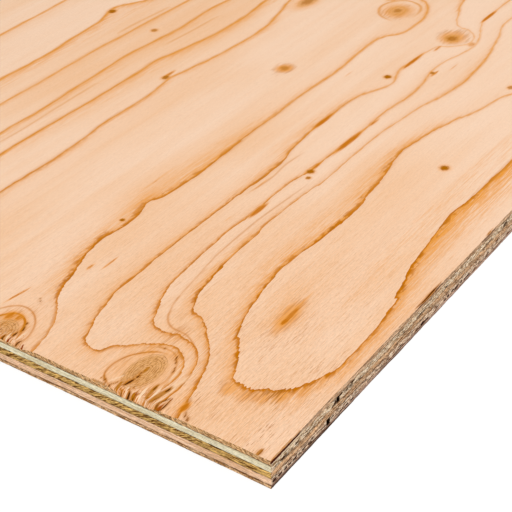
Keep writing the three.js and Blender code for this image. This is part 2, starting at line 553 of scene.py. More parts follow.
@dataclass
class RingField:
    """The ring surface over the whole sheet: which year's wood shows at each place.

    It passes through every growth line at that line's level and elsewhere follows slow
    waves, as the pattern of a peeled log does. A line stands as points a step apart. reach
    and near_reach are how far, along and across the sheet, a point pulls the surface to its
    level, coarsely and finely, near_share is the weight of the fine pull, and bloom_reach
    how far it gives the wood its bloom. The slacks are how loosely surface and bloom hold
    to the points, drawn is the part of the sheet that they can touch and log_turn the width
    of veneer that one turn of the log gives. Lengths are in mm.
    """

    lines: tuple[GrowthLine, ...] = GROWTH_LINES
    pins: tuple[tuple[float, float, float], ...] = RING_PINS
    far_knots: tuple[Knot, ...] = ()
    step: float = 9.0
    reach: Point = (110.0, 36.0)
    near_reach: Point = (16.0, 9.0)
    near_share: float = 0.12
    bloom_reach: Point = (45.0, 9.0)
    bloom_slack: float = 0.02
    slack: float = 2e-4
    drawn: Point = (1000.0, 720.0)
    log_turn: float = 760.0
    points: Array = field(init=False)
    weights: Array = field(init=False)
    blooms: Array = field(init=False)

    def __post_init__(self) -> None:
        """Solves for the weights that carry the surface through the lines."""
        places, levels, blooms = [], [], []
        for line in self.lines:
            trace = smooth_curve(line.points, self.step)
            places.append(trace)
            levels += [line.level] * len(trace)
            blooms += [line.bloom] * len(trace)
        pins = np.asarray(self.pins, float)
        self.points = np.vstack(places + [pins[:, :2]])
        level = np.concatenate([levels, pins[:, 2]])
        self.blooms = np.concatenate([blooms, np.full(len(pins), 0.5)])
        own = self.closeness(self.points)[0] + np.eye(len(level)) * self.slack
        self.weights = np.linalg.solve(own, level - self.drift(*self.points.T))

    def drift(self, x: Array, y: Array) -> Array:
        """Works out the slow waves that the surface follows away from the drawn lines.

        Args:
            x: places along the sheet.
            y: places across it.

        Returns:
            The level at each place.
        """
        turn = 2.0 * np.pi * (y - 230.0) / self.log_turn + 0.25 * waves(x, y * 0.0, 5, 700.0, 1.0)
        level = -0.2 - 4.2 * np.cos(turn) + 1.3 * waves(x, y, 11, 330.0, 70.0) + 0.0015 * (x - 300.0)
        for knot in self.far_knots:
            level = level + 1.4 * np.exp(-((knot.radius(x, y) / 1.9) ** 2))
        return level

    def closeness(self, at: Array) -> tuple[Array, Array, Array]:
        """How strongly each place follows each point of the lines.

        Args:
            at: places, as rows of x and y in mm.

        Returns:
            The strength, and its change along x and along y.
        """
        gap_x = at[:, None, 0] - self.points[None, :, 0]
        gap_y = at[:, None, 1] - self.points[None, :, 1]
        total = [0.0, 0.0, 0.0]
        for (length, width), share in ((self.reach, 1.0), (self.near_reach, self.near_share)):
            far = math.sqrt(3.0) * np.hypot(gap_x / length, gap_y / width)
            fade = share * np.exp(-far)
            total[0] = total[0] + (1.0 + far) * fade
            total[1] = total[1] - 3.0 * gap_x / length**2 * fade
            total[2] = total[2] - 3.0 * gap_y / width**2 * fade
        return total[0], total[1], total[2]

    def sample(self, x: Array, y: Array) -> dict[str, Array]:
        """Reads the surface at many places.

        Args:
            x: places along the sheet, in mm from the near corner.
            y: places across it.

        Returns:
            ring, the level; run, its change per mm along the grain; steep, its whole
            change per mm; and bloom.
        """
        ring = self.drift(x, y)
        run, climb = slopes(self.drift, x, y)
        bloom = np.clip(0.55 + 0.25 * waves(x, y, 23, 300.0, 60.0), 0.2, 1.0)
        near = np.flatnonzero((x < self.drawn[0]) & (y < self.drawn[1]))
        for part in np.array_split(near, max(1, len(near) // PLACES_AT_ONCE)):
            at = np.column_stack([x[part], y[part]])
            level, along, across = self.closeness(at)
            ring[part] += level @ self.weights
            run[part] += along @ self.weights
            climb[part] += across @ self.weights
            gap_x = (at[:, None, 0] - self.points[None, :, 0]) / self.bloom_reach[0]
            gap_y = (at[:, None, 1] - self.points[None, :, 1]) / self.bloom_reach[1]
            share = np.exp(-(gap_x**2) - gap_y**2)
            total = share.sum(1) + self.bloom_slack
            bloom[part] = (share @ self.blooms + self.bloom_slack * bloom[part]) / total
        return {"ring": ring, "run": run, "steep": np.hypot(run, climb), "bloom": bloom}


def scattered_knots(seed: int, count: int) -> tuple[Knot, ...]:
    """Knots over the part of the sheet that has no drawn lines.

    Args:
        seed: which scatter.
        count: how many knots are tried.

    Returns:
        The knots that stay clear of the drawn corner.
    """
    length, width = sheet_size()
    draw = np.random.RandomState(seed)
    knots = []
    for _ in range(count):
        x = draw.uniform(60.0, length - 60.0)
        y = draw.uniform(30.0, width - 30.0)
        size = draw.choice([5.0, 8.0, 14.0, 24.0, 30.0])
        dark = draw.uniform(0.55, 1.0)
        if x > 620.0 or y > 540.0:
            rings = 7.0 if size > 20.0 else 3.0 if size > 10.0 else 0.0
            knots.append(Knot(x, y, size * 1.5, size, rings, dark))
    return tuple(knots)


# ---- Meshes ----


@dataclass(frozen=True)
class Patch:
    """A part of a veneer whose mesh is finer, in mm from the near corner.

    Each level halves the mesh's cells once more.
    """

    low: Point
    high: Point
    level: int

    @classmethod
    def around(cls, x: float, y: float, half: Point, level: int) -> "Patch":
        """Returns a patch round a place, with its half length and half width."""
        return cls((x - half[0], y - half[1]), (x + half[0], y + half[1]), level)

    def holds(self, at: Array, level: int, cell: Point) -> Array:
        """Which places are cut at a level, with a margin round a finer patch.

        Args:
            at: places, as rows of x and y.
            level: the level being cut.
            cell: the first mesh's cell, in mm.

        Returns:
            True for each place that is cut.
        """
        spare = sum(1.3 / 2.0**step for step in range(level, self.level)) * 0.5
        x, y = at.T
        inside = (x > self.low[0] - spare * cell[0]) & (x < self.high[0] + spare * cell[0])
        inside &= (y > self.low[1] - spare * cell[1]) & (y < self.high[1] + spare * cell[1])
        return inside & (level <= self.level)


FACE_PATCHES = (
    Patch((-5, -5), (580, 510), 1), Patch((-5, -5), (300, 230), 2), Patch((-5, -5), (130, 110), 3),
    Patch((-5, 50), (60, 205), 3), Patch((-2, 58), (16, 100), 4), Patch((-2, 154), (10, 178), 4),
    Patch((-2, -2), (45, 4), 4), Patch((4, 89), (42, 96), 4), Patch((140, -2), (245, 4), 3))

CORE_PATCHES = (
    Patch((-5, -5), (8, 300), 3), Patch((-5, -5), (400, 6), 3), Patch((-5, -5), (5, 200), 4),
    Patch((-5, -5), (150, 4), 4))

BACK_PATCHES = (Patch((-5, -5), (8, 300), 3), Patch((-5, -5), (400, 4), 3))


def knot_patches(knots: Iterable[Knot]) -> tuple[Patch, ...]:
    """Makes the mesh finer round knots, and finest round the smallest.

    Args:
        knots: the knots.

    Returns:
        A patch for each knot.
    """
    patches = []
    for knot in knots:
        level = 4 if knot.length < 7 else 3 if knot.length < 30 else 2
        half = (0.5 * knot.length + 3.0, 0.5 * knot.width + 2.0)
        patches.append(Patch.around(knot.x, knot.y, half, level))
    return tuple(patches)


def streak_patches(streaks: Iterable[Streak]) -> tuple[Patch, ...]:
    """Makes the mesh finer round streaks, and less so where they are soft.

    Args:
        streaks: the streaks.

    Returns:
        A patch for each streak.
    """
    patches = []
    for streak in streaks:
        level = 2 if streak.tone is Tone.GLOW else 3
        half = (0.7 * streak.length, 0.8 * streak.width + 0.5)
        patches.append(Patch.around(streak.x, streak.y, half, level))
    return tuple(patches)


@dataclass
class Slab:
    """A flat rectangular block, finely meshed where it needs detail.

    The grid lies on the side that shows, and rows of faces go down its four edges, at
    shares of its thickness. cell is the grid's plain cell, in mm. Edges that turn by more
    than sharp, in radians, are kept sharp, and a face more than clearance, in metres, from
    the sheet's outside is hidden.
    """

    low: Vector
    high: Vector
    cell: Point
    patches: Sequence[Patch] = ()
    rows: Sequence[float] = (0.0, 1.0)
    shown_below: bool = False
    sharp: float = 0.5
    clearance: float = 0.1 * MM

    def mesh(self, name: str) -> Mesh:
        """Makes the block.

        Args:
            name: the mesh's name.

        Returns:
            The mesh, with material 0 on the face that shows, 1 on its short edges, 2 on its
            long edges and 3 where it is hidden.
        """
        size = self.high - self.low
        counts = [max(1, round(size[i] / MM / self.cell[i])) for i in range(2)]
        bm = bmesh.new()
        bmesh.ops.create_grid(bm, x_segments=counts[0], y_segments=counts[1], size=0.5)
        bmesh.ops.scale(bm, vec=(size.x, size.y, 1.0), verts=bm.verts)
        middle = 0.5 * (self.low + self.high)
        bmesh.ops.translate(bm, vec=(middle.x, middle.y, self.high.z), verts=bm.verts)
        self.refine(bm, counts)
        self.add_edges(bm, size.z)
        if self.shown_below:
            flip = Matrix.Diagonal((1.0, 1.0, -1.0, 1.0))
            bmesh.ops.transform(bm, matrix=flip, verts=bm.verts)
            bmesh.ops.translate(bm, vec=(0.0, 0.0, self.low.z + self.high.z), verts=bm.verts)
        bmesh.ops.recalc_face_normals(bm, faces=bm.faces)
        for face in bm.faces:
            face.smooth = True
            flat = abs(face.normal.z) > 0.5
            face.material_index = 0 if flat else 1 if abs(face.normal.x) > 0.5 else 2
            if self.hidden(face):
                face.material_index = 3
        for edge in bm.edges:
            if edge.is_manifold and edge.calc_face_angle() > self.sharp:
                edge.smooth = False
        mesh = bpy.data.meshes.new(name)
        bm.to_mesh(mesh)
        bm.free()
        return mesh

    def hidden(self, face: bmesh.types.BMFace) -> bool:
        """Finds whether a face lies against another piece or inside a core gap.

        Args:
            face: the face.

        Returns:
            True where the face isn't on the outside of the sheet.
        """
        middle, way = face.calc_center_median(), face.normal
        axis = 2 if abs(way.z) > 0.5 else 0 if abs(way.x) > 0.5 else 1
        outside = solid_box[0][axis] if way[axis] < 0.0 else solid_box[1][axis]
        return abs(middle[axis] - outside) > self.clearance

    def refine(self, bm: bmesh.types.BMesh, counts: Sequence[int]) -> None:
        """Cuts the grid finer inside the patches, level by level.

        Args:
            bm: the open grid.
            counts: how many cells it has along and across.
        """
        cell = (
            (self.high.x - self.low.x) / MM / counts[0],
            (self.high.y - self.low.y) / MM / counts[1],
        )
        corner = sheet_corner()
        levels = max([patch.level for patch in self.patches], default=0)
        for level in range(1, levels + 1):
            faces = [face for face in bm.faces if len(face.verts) == 4]
            centres = np.array([face.calc_center_median()[:2] for face in faces])
            centres = (centres - corner) / MM
            areas = np.array([face.calc_area() for face in faces]) / MM**2
            whole = areas > 0.8 * cell[0] * cell[1] / 4.0 ** (level - 1)
            chosen = np.zeros(len(faces), bool)
            for patch in self.patches:
                chosen |= patch.holds(centres, level, cell)
            cut = [face for face, on in zip(faces, chosen & whole) if on]
            edges = list(dict.fromkeys(edge for face in cut for edge in face.edges))
            bmesh.ops.subdivide_edges(bm, edges=edges, cuts=1, use_grid_fill=True)
        many = [face for face in bm.faces if len(face.verts) > 4]
        bmesh.ops.triangulate(bm, faces=many)

    def add_edges(self, bm: bmesh.types.BMesh, thickness: float) -> None:
        """Extrudes the outline down in rows and closes the far side.

        Args:
            bm: the open grid.
            thickness: the block's thickness.
        """
        outline = [edge for edge in bm.edges if edge.is_boundary]
        for above, below in zip(self.rows, self.rows[1:]):
            made = bmesh.ops.extrude_edge_only(bm, edges=outline)["geom"]
            verts = [item for item in made if isinstance(item, bmesh.types.BMVert)]
            outline = [item for item in made if isinstance(item, bmesh.types.BMEdge)]
            drop = (above - below) * thickness
            bmesh.ops.translate(bm, vec=(0.0, 0.0, drop), verts=verts)
            outline = [edge for edge in outline if edge.is_boundary]
        bmesh.ops.contextual_create(bm, geom=outline)


def read_places(mesh: Mesh) -> Array:
    """Reads a mesh's vertices.

    Args:
        mesh: the mesh.

    Returns:
        Their places in mm from the near corner and the floor, as rows of x, y and z.
    """
    places = np.empty(len(mesh.vertices) * 3, np.float32)
    mesh.vertices.foreach_get("co", places)
    places = places.reshape(-1, 3).astype(float)
    places[:, :2] -= sheet_corner()
    return places / MM


def write_places(mesh: Mesh, places: Array) -> None:
    """Moves a mesh's vertices.

    Args:
        mesh: the mesh.
        places: their new places in mm from the near corner and the floor.
    """
    world = places * MM
    world[:, :2] += sheet_corner()
    mesh.vertices.foreach_set("co", world.astype(np.float32).ravel())
    mesh.update()


def write_values(mesh: Mesh, name: str, values: Array) -> None:
    """Keeps one value or vector for each vertex, for the materials to read.

    Args:
        mesh: the mesh.
        name: the attribute's name.
        values: numbers, or rows of three.
    """
    kind, key = ("FLOAT", "value") if values.ndim == 1 else ("FLOAT_VECTOR", "vector")
    layer = mesh.attributes.new(name, kind, "POINT")
    layer.data.foreach_set(key, values.astype(np.float32).ravel())


def write_knots(mesh: Mesh, places: Array, knots: Sequence[Knot]) -> None:
    """Keeps the nearest knot and the run of the fibres round the knots on the mesh.

    Args:
        mesh: the mesh.
        places: its vertices, in mm.
        knots: the knots.
    """
    x, y, z = places.T
    radius, flow = np.full(len(x), 9.0), y.copy()
    kinds = {name: np.full(len(x), 0.01) for name in ("dark", "rings", "heart")}
    for knot in knots:
        own = knot.radius(x, y)
        near = own < radius
        radius[near] = own[near]
        for name, values in kinds.items():
            values[near] = getattr(knot, name)
        flow -= (y - knot.y) * 0.85 / (1.0 + own**2) * np.exp(-own / 3.0)
    write_values(mesh, "knot", radius)
    write_values(mesh, "flow", np.column_stack([x, flow, z]))
    for name, values in kinds.items():
        write_values(mesh, "knot_" + name, values)


# ---- Materials ----


def paint(colour: Colour) -> tuple[float, float, float, float]:
    """Turns a colour given as 0 to 255 into the linear form that shaders take.

    Args:
        colour: its red, green and blue.

    Returns:
        Red, green, blue and an alpha of 1.
    """
    parts = [part / 255.0 for part in colour]
    red, green, blue = [
        part / 12.92 if part <= 0.04045 else ((part + 0.055) / 1.055) ** 2.4 for part in parts
    ]
    return red, green, blue, 1.0


@dataclass
class Nodes:
    """The nodes of a material or of the world, with short calls to add and link them."""

    tree: bpy.types.NodeTree

    def add(self, kind: str, *inputs: Feed, **settings: object) -> bpy.types.Node:
        """Adds a node.

        Args:
            kind: the kind of node.
            *inputs: what goes into its inputs, in their order.
            **settings: its properties.

        Returns:
            The new node.
        """
        node = self.tree.nodes.new(kind)
        for key, value in settings.items():
            setattr(node, key, value)
        for socket, value in zip(node.inputs, inputs):
            self.feed(socket, value)
        return node

    def feed(self, socket: Socket, value: Feed) -> None:
        """Links a socket to another, or sets it to a number or a colour.

        Args:
            socket: a node's input.
            value: what goes into it.
        """
        if isinstance(value, bpy.types.NodeSocket):
            self.tree.links.new(value, socket)
        else:
            socket.default_value = value


class Recipe(Nodes):
    """A surface's material under construction, from patterns, steps and colours.

    colour is the surface's colour so far, and flow, on a face, coordinates that follow its
    fibres, in mm.
    """

    colour: Socket
    flow: Socket

    def __init__(self, name: str, roughness: float = 0.6, gloss: float = 0.3) -> None:
        """Starts a material.

        Args:
            name: the material's name.
            roughness: how dull the surface is.
            gloss: how much it reflects.
        """
        self.material = bpy.data.materials.new(name)
        self.material.use_nodes = True
        super().__init__(self.material.node_tree)
        self.shader = self.tree.nodes["Principled BSDF"]
        self.shader.inputs["Roughness"].default_value = roughness
        self.shader.inputs["Specular IOR Level"].default_value = gloss
        self.place = self.add("ShaderNodeTexCoord").outputs["Object"]

    def math(self, kind: str, first: Feed, second: Feed = 0.0, third: Feed = 0.0) -> Socket:
        """Returns the result of one sum on up to three numbers."""
        return self.add("ShaderNodeMath", first, second, third, operation=kind).outputs[0]

    def times(self, *values: Feed) -> Socket:
        """Returns the product of all the values."""
        return reduce(partial(self.math, "MULTIPLY"), values)

    def plus(self, *values: Feed) -> Socket:
        """Returns the sum of all the values."""
        return reduce(partial(self.math, "ADD"), values)

    def least(self, first: Feed, second: Feed) -> Socket:
        """Returns the smaller of two values."""
        return self.math("MINIMUM", first, second)

    def most(self, first: Feed, second: Feed) -> Socket:
        """Returns the larger of two values."""
        return self.math("MAXIMUM", first, second)

    def over(self, first: Feed, second: Feed) -> Socket:
        """Returns the first value divided by the second."""
        return self.math("DIVIDE", first, second)

    def less(self, first: Feed, second: Feed) -> Socket:
        """Returns the first value less the second."""
        return self.math("SUBTRACT", first, second)

    def decay(self, *values: Feed) -> Socket:
        """Returns e to the power of the product of all the values."""
        return self.math("EXPONENT", self.times(*values))

    def step(self, value: Feed, low: Feed, high: Feed, start: float = 0.0, end: float = 1.0) -> Socket:
        """Returns a smooth step: start where the value is low, end where it is high."""
        given = (value, low, high, start, end)
        return self.add("ShaderNodeMapRange", *given, interpolation_type="SMOOTHSTEP").outputs[0]

    def value(self, name: str) -> Socket:
        """Returns a number that the mesh keeps for each vertex."""
        return self.add("ShaderNodeAttribute", attribute_name=name).outputs["Fac"]

    def vector(self, name: str) -> Socket:
        """Returns a vector that the mesh keeps for each vertex."""
        return self.add("ShaderNodeAttribute", attribute_name=name).outputs["Vector"]

    def spread(self, source: Socket, size: tuple, shift: float = 0.0) -> Socket:
        """Scales coordinates so that one unit is a given size.

        Args:
            source: the coordinates: the object's own, in metres, or others, in mm.
            size: the size in mm along x, y and z.
            shift: moves the pattern, so that two patterns differ.

        Returns:
            The scaled coordinates.
        """
        unit = 1.0 / MM if source == self.place else 1.0
        moved = (shift, 1.7 * shift, 0.6 * shift)
        scale = tuple(unit / part for part in size)
        return self.add("ShaderNodeMapping", source, moved, (0.0, 0.0, 0.0), scale).outputs[0]

    def noise(self, at: Socket, size: tuple, shift: float, detail: float = 2.0,
              rough: float = 0.5, warp: float = 0.0) -> Socket:
        """Makes cloudy noise.

        Args:
            at: the coordinates it lies on.
            size: the size of its clouds in mm along x, y and z.
            shift: moves the pattern, so that two patterns differ.
            detail: how many finer layers it has.
            rough: how strong they are.
            warp: how much it is twisted.

        Returns:
            The noise, from 0 to 1 with a mean of a half.
        """
        at = self.spread(at, size, shift)
        node = self.add("ShaderNodeTexNoise", at, 0.0, 1.0, detail, rough)
        node.inputs["Distortion"].default_value = warp
        return node.outputs["Fac"]

    def ripple(self, at: Socket, size: tuple, shift: float, detail: float = 2.0,
               rough: float = 0.5) -> Socket:
        """Returns the same noise from -0.5 to 0.5, with a mean of 0."""
        return self.plus(self.noise(at, size, shift, detail, rough), -0.5)

    def join(self, first: Socket, second: Socket) -> Socket:
        """Returns coordinates made of two numbers."""
        return self.add("ShaderNodeCombineXYZ", first, second).outputs[0]

    def oval(self, at: Socket, middle: Point, size: Point) -> Socket:
        """Measures how far places are from the middle of an oval.

        Args:
            at: the coordinates it lies on.
            middle: its middle.
            size: its length and height.

        Returns:
            The distance, where 1 is the oval's rim.
        """
        given = ((*middle, 0.0), (0.0, 0.0, 0.0), (0.5 * size[0], 0.5 * size[1], 1.0))
        moved = self.add("ShaderNodeMapping", at, *given, vector_type="TEXTURE")
        length = self.add("ShaderNodeVectorMath", moved.outputs[0], operation="LENGTH")
        return length.outputs["Value"]

    def blend(self, share: Feed, first: Feed, second: Feed) -> Socket:
        """Mixes two colours.

        Args:
            share: how much of the second there is.
            first: a colour or a socket.
            second: a colour or a socket.

        Returns:
            The mixed colour.
        """
        node = self.add("ShaderNodeMix", share, data_type="RGBA", clamp_factor=True)
        for index, given in ((6, first), (7, second)):
            is_socket = isinstance(given, bpy.types.NodeSocket)
            self.feed(node.inputs[index], given if is_socket else paint(given))
        return node.outputs[2]

    def lay(self, share: Feed, colour: Feed) -> None:
        """Lays a share of a colour over the surface's colour so far."""
        self.colour = self.blend(share, self.colour, colour)

    def tint(self, factor: Socket) -> None:
        """Makes the surface's colour so far darker or lighter.

        Args:
            factor: what it is multiplied by.
        """
        node = self.add("ShaderNodeVectorMath", self.colour, operation="SCALE")
        self.feed(node.inputs["Scale"], factor)
        self.colour = node.outputs[0]

    def finish(self, height: Socket, depth: float) -> Material:
        """Ends the material.

        Args:
            height: the surface's fine relief, where 1 is high.
            depth: how much relief 1 stands for, in mm.

        Returns:
            The finished material.
        """
        self.feed(self.shader.inputs["Base Color"], self.colour)
        bump = self.add("ShaderNodeBump")
        bump.inputs["Distance"].default_value = depth * MM
        self.feed(bump.inputs["Height"], height)
        self.feed(self.shader.inputs["Normal"], bump.outputs[0])
        return self.material


@dataclass(frozen=True)
class RingPlace:
    """Where a place lies in its year's ring, as the sockets that a face is coloured from.

    gap is the distance in mm to the line that ends the ring, and past the distance from the
    line before. part is how much of the ring is done and slope how many rings there are to
    a mm, of which run is the share along the grain. bloom is how much late wood the ring
    has, and full the same up to 1. soft is 1 far from the near corner. sway and along are
    noises that bend the lines and vary them.
    """

    gap: Socket
    past: Socket
    part: Socket
    slope: Socket
    run: Socket
    bloom: Socket
    full: Socket
    soft: Socket
    sway: Socket
    along: Socket


@dataclass(frozen=True)
class PeeledFace:
    """The broad face of a peeled veneer, with growth rings, fibres, resin and knots."""

    name: str = "peeled_softwood"
    pale: Colour = (250, 215, 186)
    peach: Colour = (245, 197, 155)
    shade: Colour = (216, 154, 102)
    orange: Colour = (238, 156, 56)
    line: Colour = (198, 114, 0)
    late: Colour = (224, 148, 62)
    resin: Colour = (200, 114, 2)
    ochre: Colour = (184, 114, 14)
    # Near black: painted shade in cracks and between loose fibres.
    crack: Colour = (80, 34, 0)
    split: Colour = (152, 68, 6)
    gold: Colour = (158, 92, 14)
    knot_wood: Colour = (224, 164, 92)
    halo: Colour = (222, 152, 66)
    rim: Colour = (198, 122, 28)
    knot_ring: Colour = (146, 80, 2)
    heart: Colour = (176, 104, 0)
    dash: Colour = (184, 112, 52)
    torn: Colour = (166, 128, 86)
    # Colour of the pale lenses and of the painted highlights on fibre lips.
    pale_and_highlight: Colour = (253, 220, 184)
    relief: float = 0.16

    def material(self) -> Material:
        """Mixes the wood from the ground up: rings, fibres, then the marks.

        Returns:
            The finished material.
        """
        mix = Recipe(self.name, roughness=0.7, gloss=0.02)
        mix.flow = mix.vector("flow")
        mix.colour = self.ground(mix)
        core, bloom, fan = self.rings(mix)
        mix.lay(bloom, self.orange)
        mix.lay(mix.times(fan, 0.75), self.late)
        fibre, dash = self.fibres(mix)
        crisp = mix.plus(1.1, mix.times(mix.value("far"), -0.83))
        mix.lay(mix.times(crisp, mix.step(fibre, 0.5, 0.62, 0.0, 0.6)), self.shade)
        mix.lay(mix.times(crisp, mix.step(fibre, 0.38, 0.5, 0.5, 0.0)), self.pale)
        hatch = mix.step(mix.noise(mix.flow, (14, 0.8, 60), 69.0, 1.0), 0.47, 0.6)
        mix.lay(mix.times(fan, hatch, 0.75), self.gold)
        speckle = mix.ripple(mix.flow, (2.4, 0.8, 60), 71.0, 2.0, 0.7)
        mix.tint(mix.plus(1.0, mix.times(speckle, mix.plus(0.12, mix.times(crisp, 0.3)))))
        soft = mix.value("soft")
        bead = mix.step(mix.noise(mix.flow, (5, 2, 60), 65.0, 1.0), 0.5, 0.64)
        core_colour = mix.blend(mix.times(bead, 0.45), self.line, self.gold)
        mix.lay(core, mix.blend(soft, core_colour, self.late))
        mix.lay(dash, self.dash)
        hollow = self.marks(mix, hatch)
        height = mix.plus(mix.times(fibre, crisp, -0.25), mix.times(core, -0.04), mix.times(hollow, -0.8))
        return mix.finish(height, self.relief)

    def ground(self, mix: Recipe) -> Socket:
        """Mixes the wood between the lines.

        Args:
            mix: the material so far.

        Returns:
            The wood's colour.
        """
        cloud = mix.ripple(mix.flow, (210, 55, 60), 3.0)
        band = mix.ripple(mix.flow, (160, 7, 60), 9.0, 3.0, 0.6)
        share = mix.plus(mix.value("tone"), mix.times(cloud, 1.3), mix.times(band, 0.8))
        return mix.blend(mix.step(share, 0.0, 1.0), self.peach, self.pale)

    def rings(self, mix: Recipe) -> tuple[Socket, Socket, Socket]:
        """The late wood that ends each year's ring.

        Args:
            mix: the material so far.

        Returns:
            The amounts of dark line, of orange beside it, and of coarse dark fibres
            below the end of a ring.
        """
        ring = self.ring_place(mix)
        core = self.ring_line(mix, ring)
        band = self.ring_band(mix, ring)
        fan = self.ring_fan(mix, ring)
        inner = mix.decay(ring.gap, -0.8)
        inner = mix.times(inner, mix.plus(0.28, mix.times(ring.full, ring.full, 0.25)))
        spill = mix.times(mix.decay(ring.past, -0.9), ring.soft, 0.5)
        dusk = mix.times(mix.step(ring.part, 0.3, 1.0), mix.plus(0.13, mix.times(ring.soft, -0.06)))
        thin, wide = self.arcs(mix, ring)
        return mix.most(mix.most(core, thin), inner), mix.plus(mix.most(band, wide), spill, dusk), fan

    def ring_place(self, mix: Recipe) -> RingPlace:
        """Finds where each place lies in its ring, with teeth and bends in the lines.

        Args:
            mix: the material so far.

        Returns:
            The place in the ring.
        """
        run, steep, bloom, soft = (mix.value(name) for name in ("run", "steep", "bloom", "soft"))
        coarse = mix.ripple(mix.flow, (26, 3.4, 60), 1.0, 2.0, 0.6)
        fine = mix.ripple(mix.flow, (12, 1.7, 60), 5.0, 1.0)
        tooth = mix.plus(mix.times(coarse, 12.0), mix.times(fine, 8.0))
        full = mix.least(bloom, 1.0)
        tooth = mix.times(tooth, mix.plus(0.04, mix.times(full, full, full, full, 0.96)))
        sway = mix.ripple(mix.flow, (30, 5, 60), 7.0)
        jag = mix.ripple(mix.flow, (9, 1.3, 60), 19.0, 1.0)
        bends = (mix.times(run, tooth), mix.times(steep, sway, 2.4), mix.times(steep, jag, 1.5))
        part = mix.math("FRACT", mix.plus(mix.value("ring"), *bends))
        slope = mix.most(steep, 0.008)
        gap = mix.over(mix.less(1.0, part), slope)
        past = mix.over(part, slope)
        along = mix.noise(mix.flow, (60, 14, 60), 13.0)
        return RingPlace(gap, past, part, slope, run, bloom, full, soft, sway, along)

    def ring_line(self, mix: Recipe, ring: RingPlace) -> Socket:
        """The dark line at the end of a ring, crisp near by and blurred far off.

        Args:
            mix: the material so far.
            ring: the place in the ring.

        Returns:
            The amount of line.
        """
        swell = mix.noise(mix.flow, (7, 3, 60), 15.0, 2.0, 0.6)
        width = mix.least(mix.plus(0.9, mix.over(0.018, ring.slope)), 2.2)
        width = mix.times(width, mix.plus(0.5, ring.along), mix.step(swell, 0.36, 0.64, 0.5, 1.7))
        width = mix.times(width, mix.plus(1.0, mix.times(ring.full, 0.4)))
        crisp = mix.step(ring.gap, mix.times(width, 0.3), mix.times(width, 1.3), 1.0, 0.0)
        near = mix.least(ring.gap, ring.past)
        blurred = mix.decay(near, near, -0.6)
        core = mix.plus(crisp, mix.times(ring.soft, mix.less(mix.times(blurred, 0.75), crisp)))
        weight = mix.most(mix.least(mix.plus(0.26, mix.times(ring.bloom, 1.05)), 1.0), 0.0)
        return mix.times(core, mix.step(ring.along, 0.28, 0.62, 0.75, 1.0), weight)

    def ring_band(self, mix: Recipe, ring: RingPlace) -> Socket:
        """The orange late wood on the inner side of a line, streaky along the grain.

        Args:
            mix: the material so far.
            ring: the place in the ring.

        Returns:
            The amount of orange.
        """
        streaky = mix.noise(mix.flow, (15, 0.7, 60), 17.0, 2.0, 0.6)
        reach = mix.plus(1.2, mix.times(mix.step(streaky, 0.32, 0.7), ring.bloom, 9.0))
        reach = mix.plus(0.4, mix.times(ring.bloom, reach))
        band = mix.decay(mix.over(ring.gap, reach), -1.0)
        return mix.times(band, mix.plus(0.85, mix.times(ring.bloom, 0.15)))

    def ring_fan(self, mix: Recipe, ring: RingPlace) -> Socket:
        """The dark fibres that fan out where a line with much late wood crosses the grain.

        Args:
            mix: the material so far.
            ring: the place in the ring.

        Returns:
            The amount of dark fibre.
        """
        ends = mix.noise(mix.flow, (20, 1.4, 60), 67.0, 2.0, 0.6)
        ends = mix.step(ends, 0.3, 0.7, 6.0, 22.0)
        fan = mix.step(ring.gap, mix.times(ends, 0.6), ends, 1.0, 0.0)
        rich = (mix.step(ring.bloom, 0.8, 0.88), mix.step(ring.bloom, 1.0, 1.15, 1.0, 0.0))
        fan = mix.times(fan, *rich)
        across = mix.over(mix.math("ABSOLUTE", ring.run), ring.slope)
        return mix.times(fan, mix.step(across, 0.5, 0.85))

    def arcs(self, mix: Recipe, ring: RingPlace) -> tuple[Socket, Socket]:
        """The thin orange lines drawn round knots and inside rings.

        Args:
            mix: the material so far.
            ring: the place in the ring.

        Returns:
            The amounts of line and of orange beside it.
        """
        bent = mix.plus(mix.value("arc_gap"), mix.times(ring.sway, 1.2))
        arc = mix.times(mix.value("arc"), mix.plus(0.45, ring.along))
        sharp = mix.plus(-2.4, mix.times(ring.soft, 1.7))
        thin = mix.times(mix.decay(bent, bent, sharp), arc)
        return thin, mix.times(mix.decay(mix.math("ABSOLUTE", bent), -0.8), arc, 0.5)

    def fibres(self, mix: Recipe) -> tuple[Socket, Socket]:
        """The fine fibres of the wood.

        Args:
            mix: the material so far.

        Returns:
            The fibres, from 0 to 1, and the amount of short dark dashes.
        """
        long = mix.noise(mix.flow, (30, 0.45, 9), 21.0, 3.0, 0.75)
        short = mix.noise(mix.flow, (8, 0.4, 9), 25.0, 2.0, 0.7)
        fibre = mix.plus(mix.times(long, 0.5), mix.times(short, 0.5))
        speck = mix.noise(mix.flow, (7, 0.5, 9), 29.0, 1.0)
        patch = mix.noise(mix.flow, (60, 24, 60), 33.0)
        near = mix.step(mix.value("far"), 0.0, 0.4, 0.9, 0.04)
        return fibre, mix.times(mix.step(speck, 0.63, 0.7), mix.step(patch, 0.45, 0.65), near)

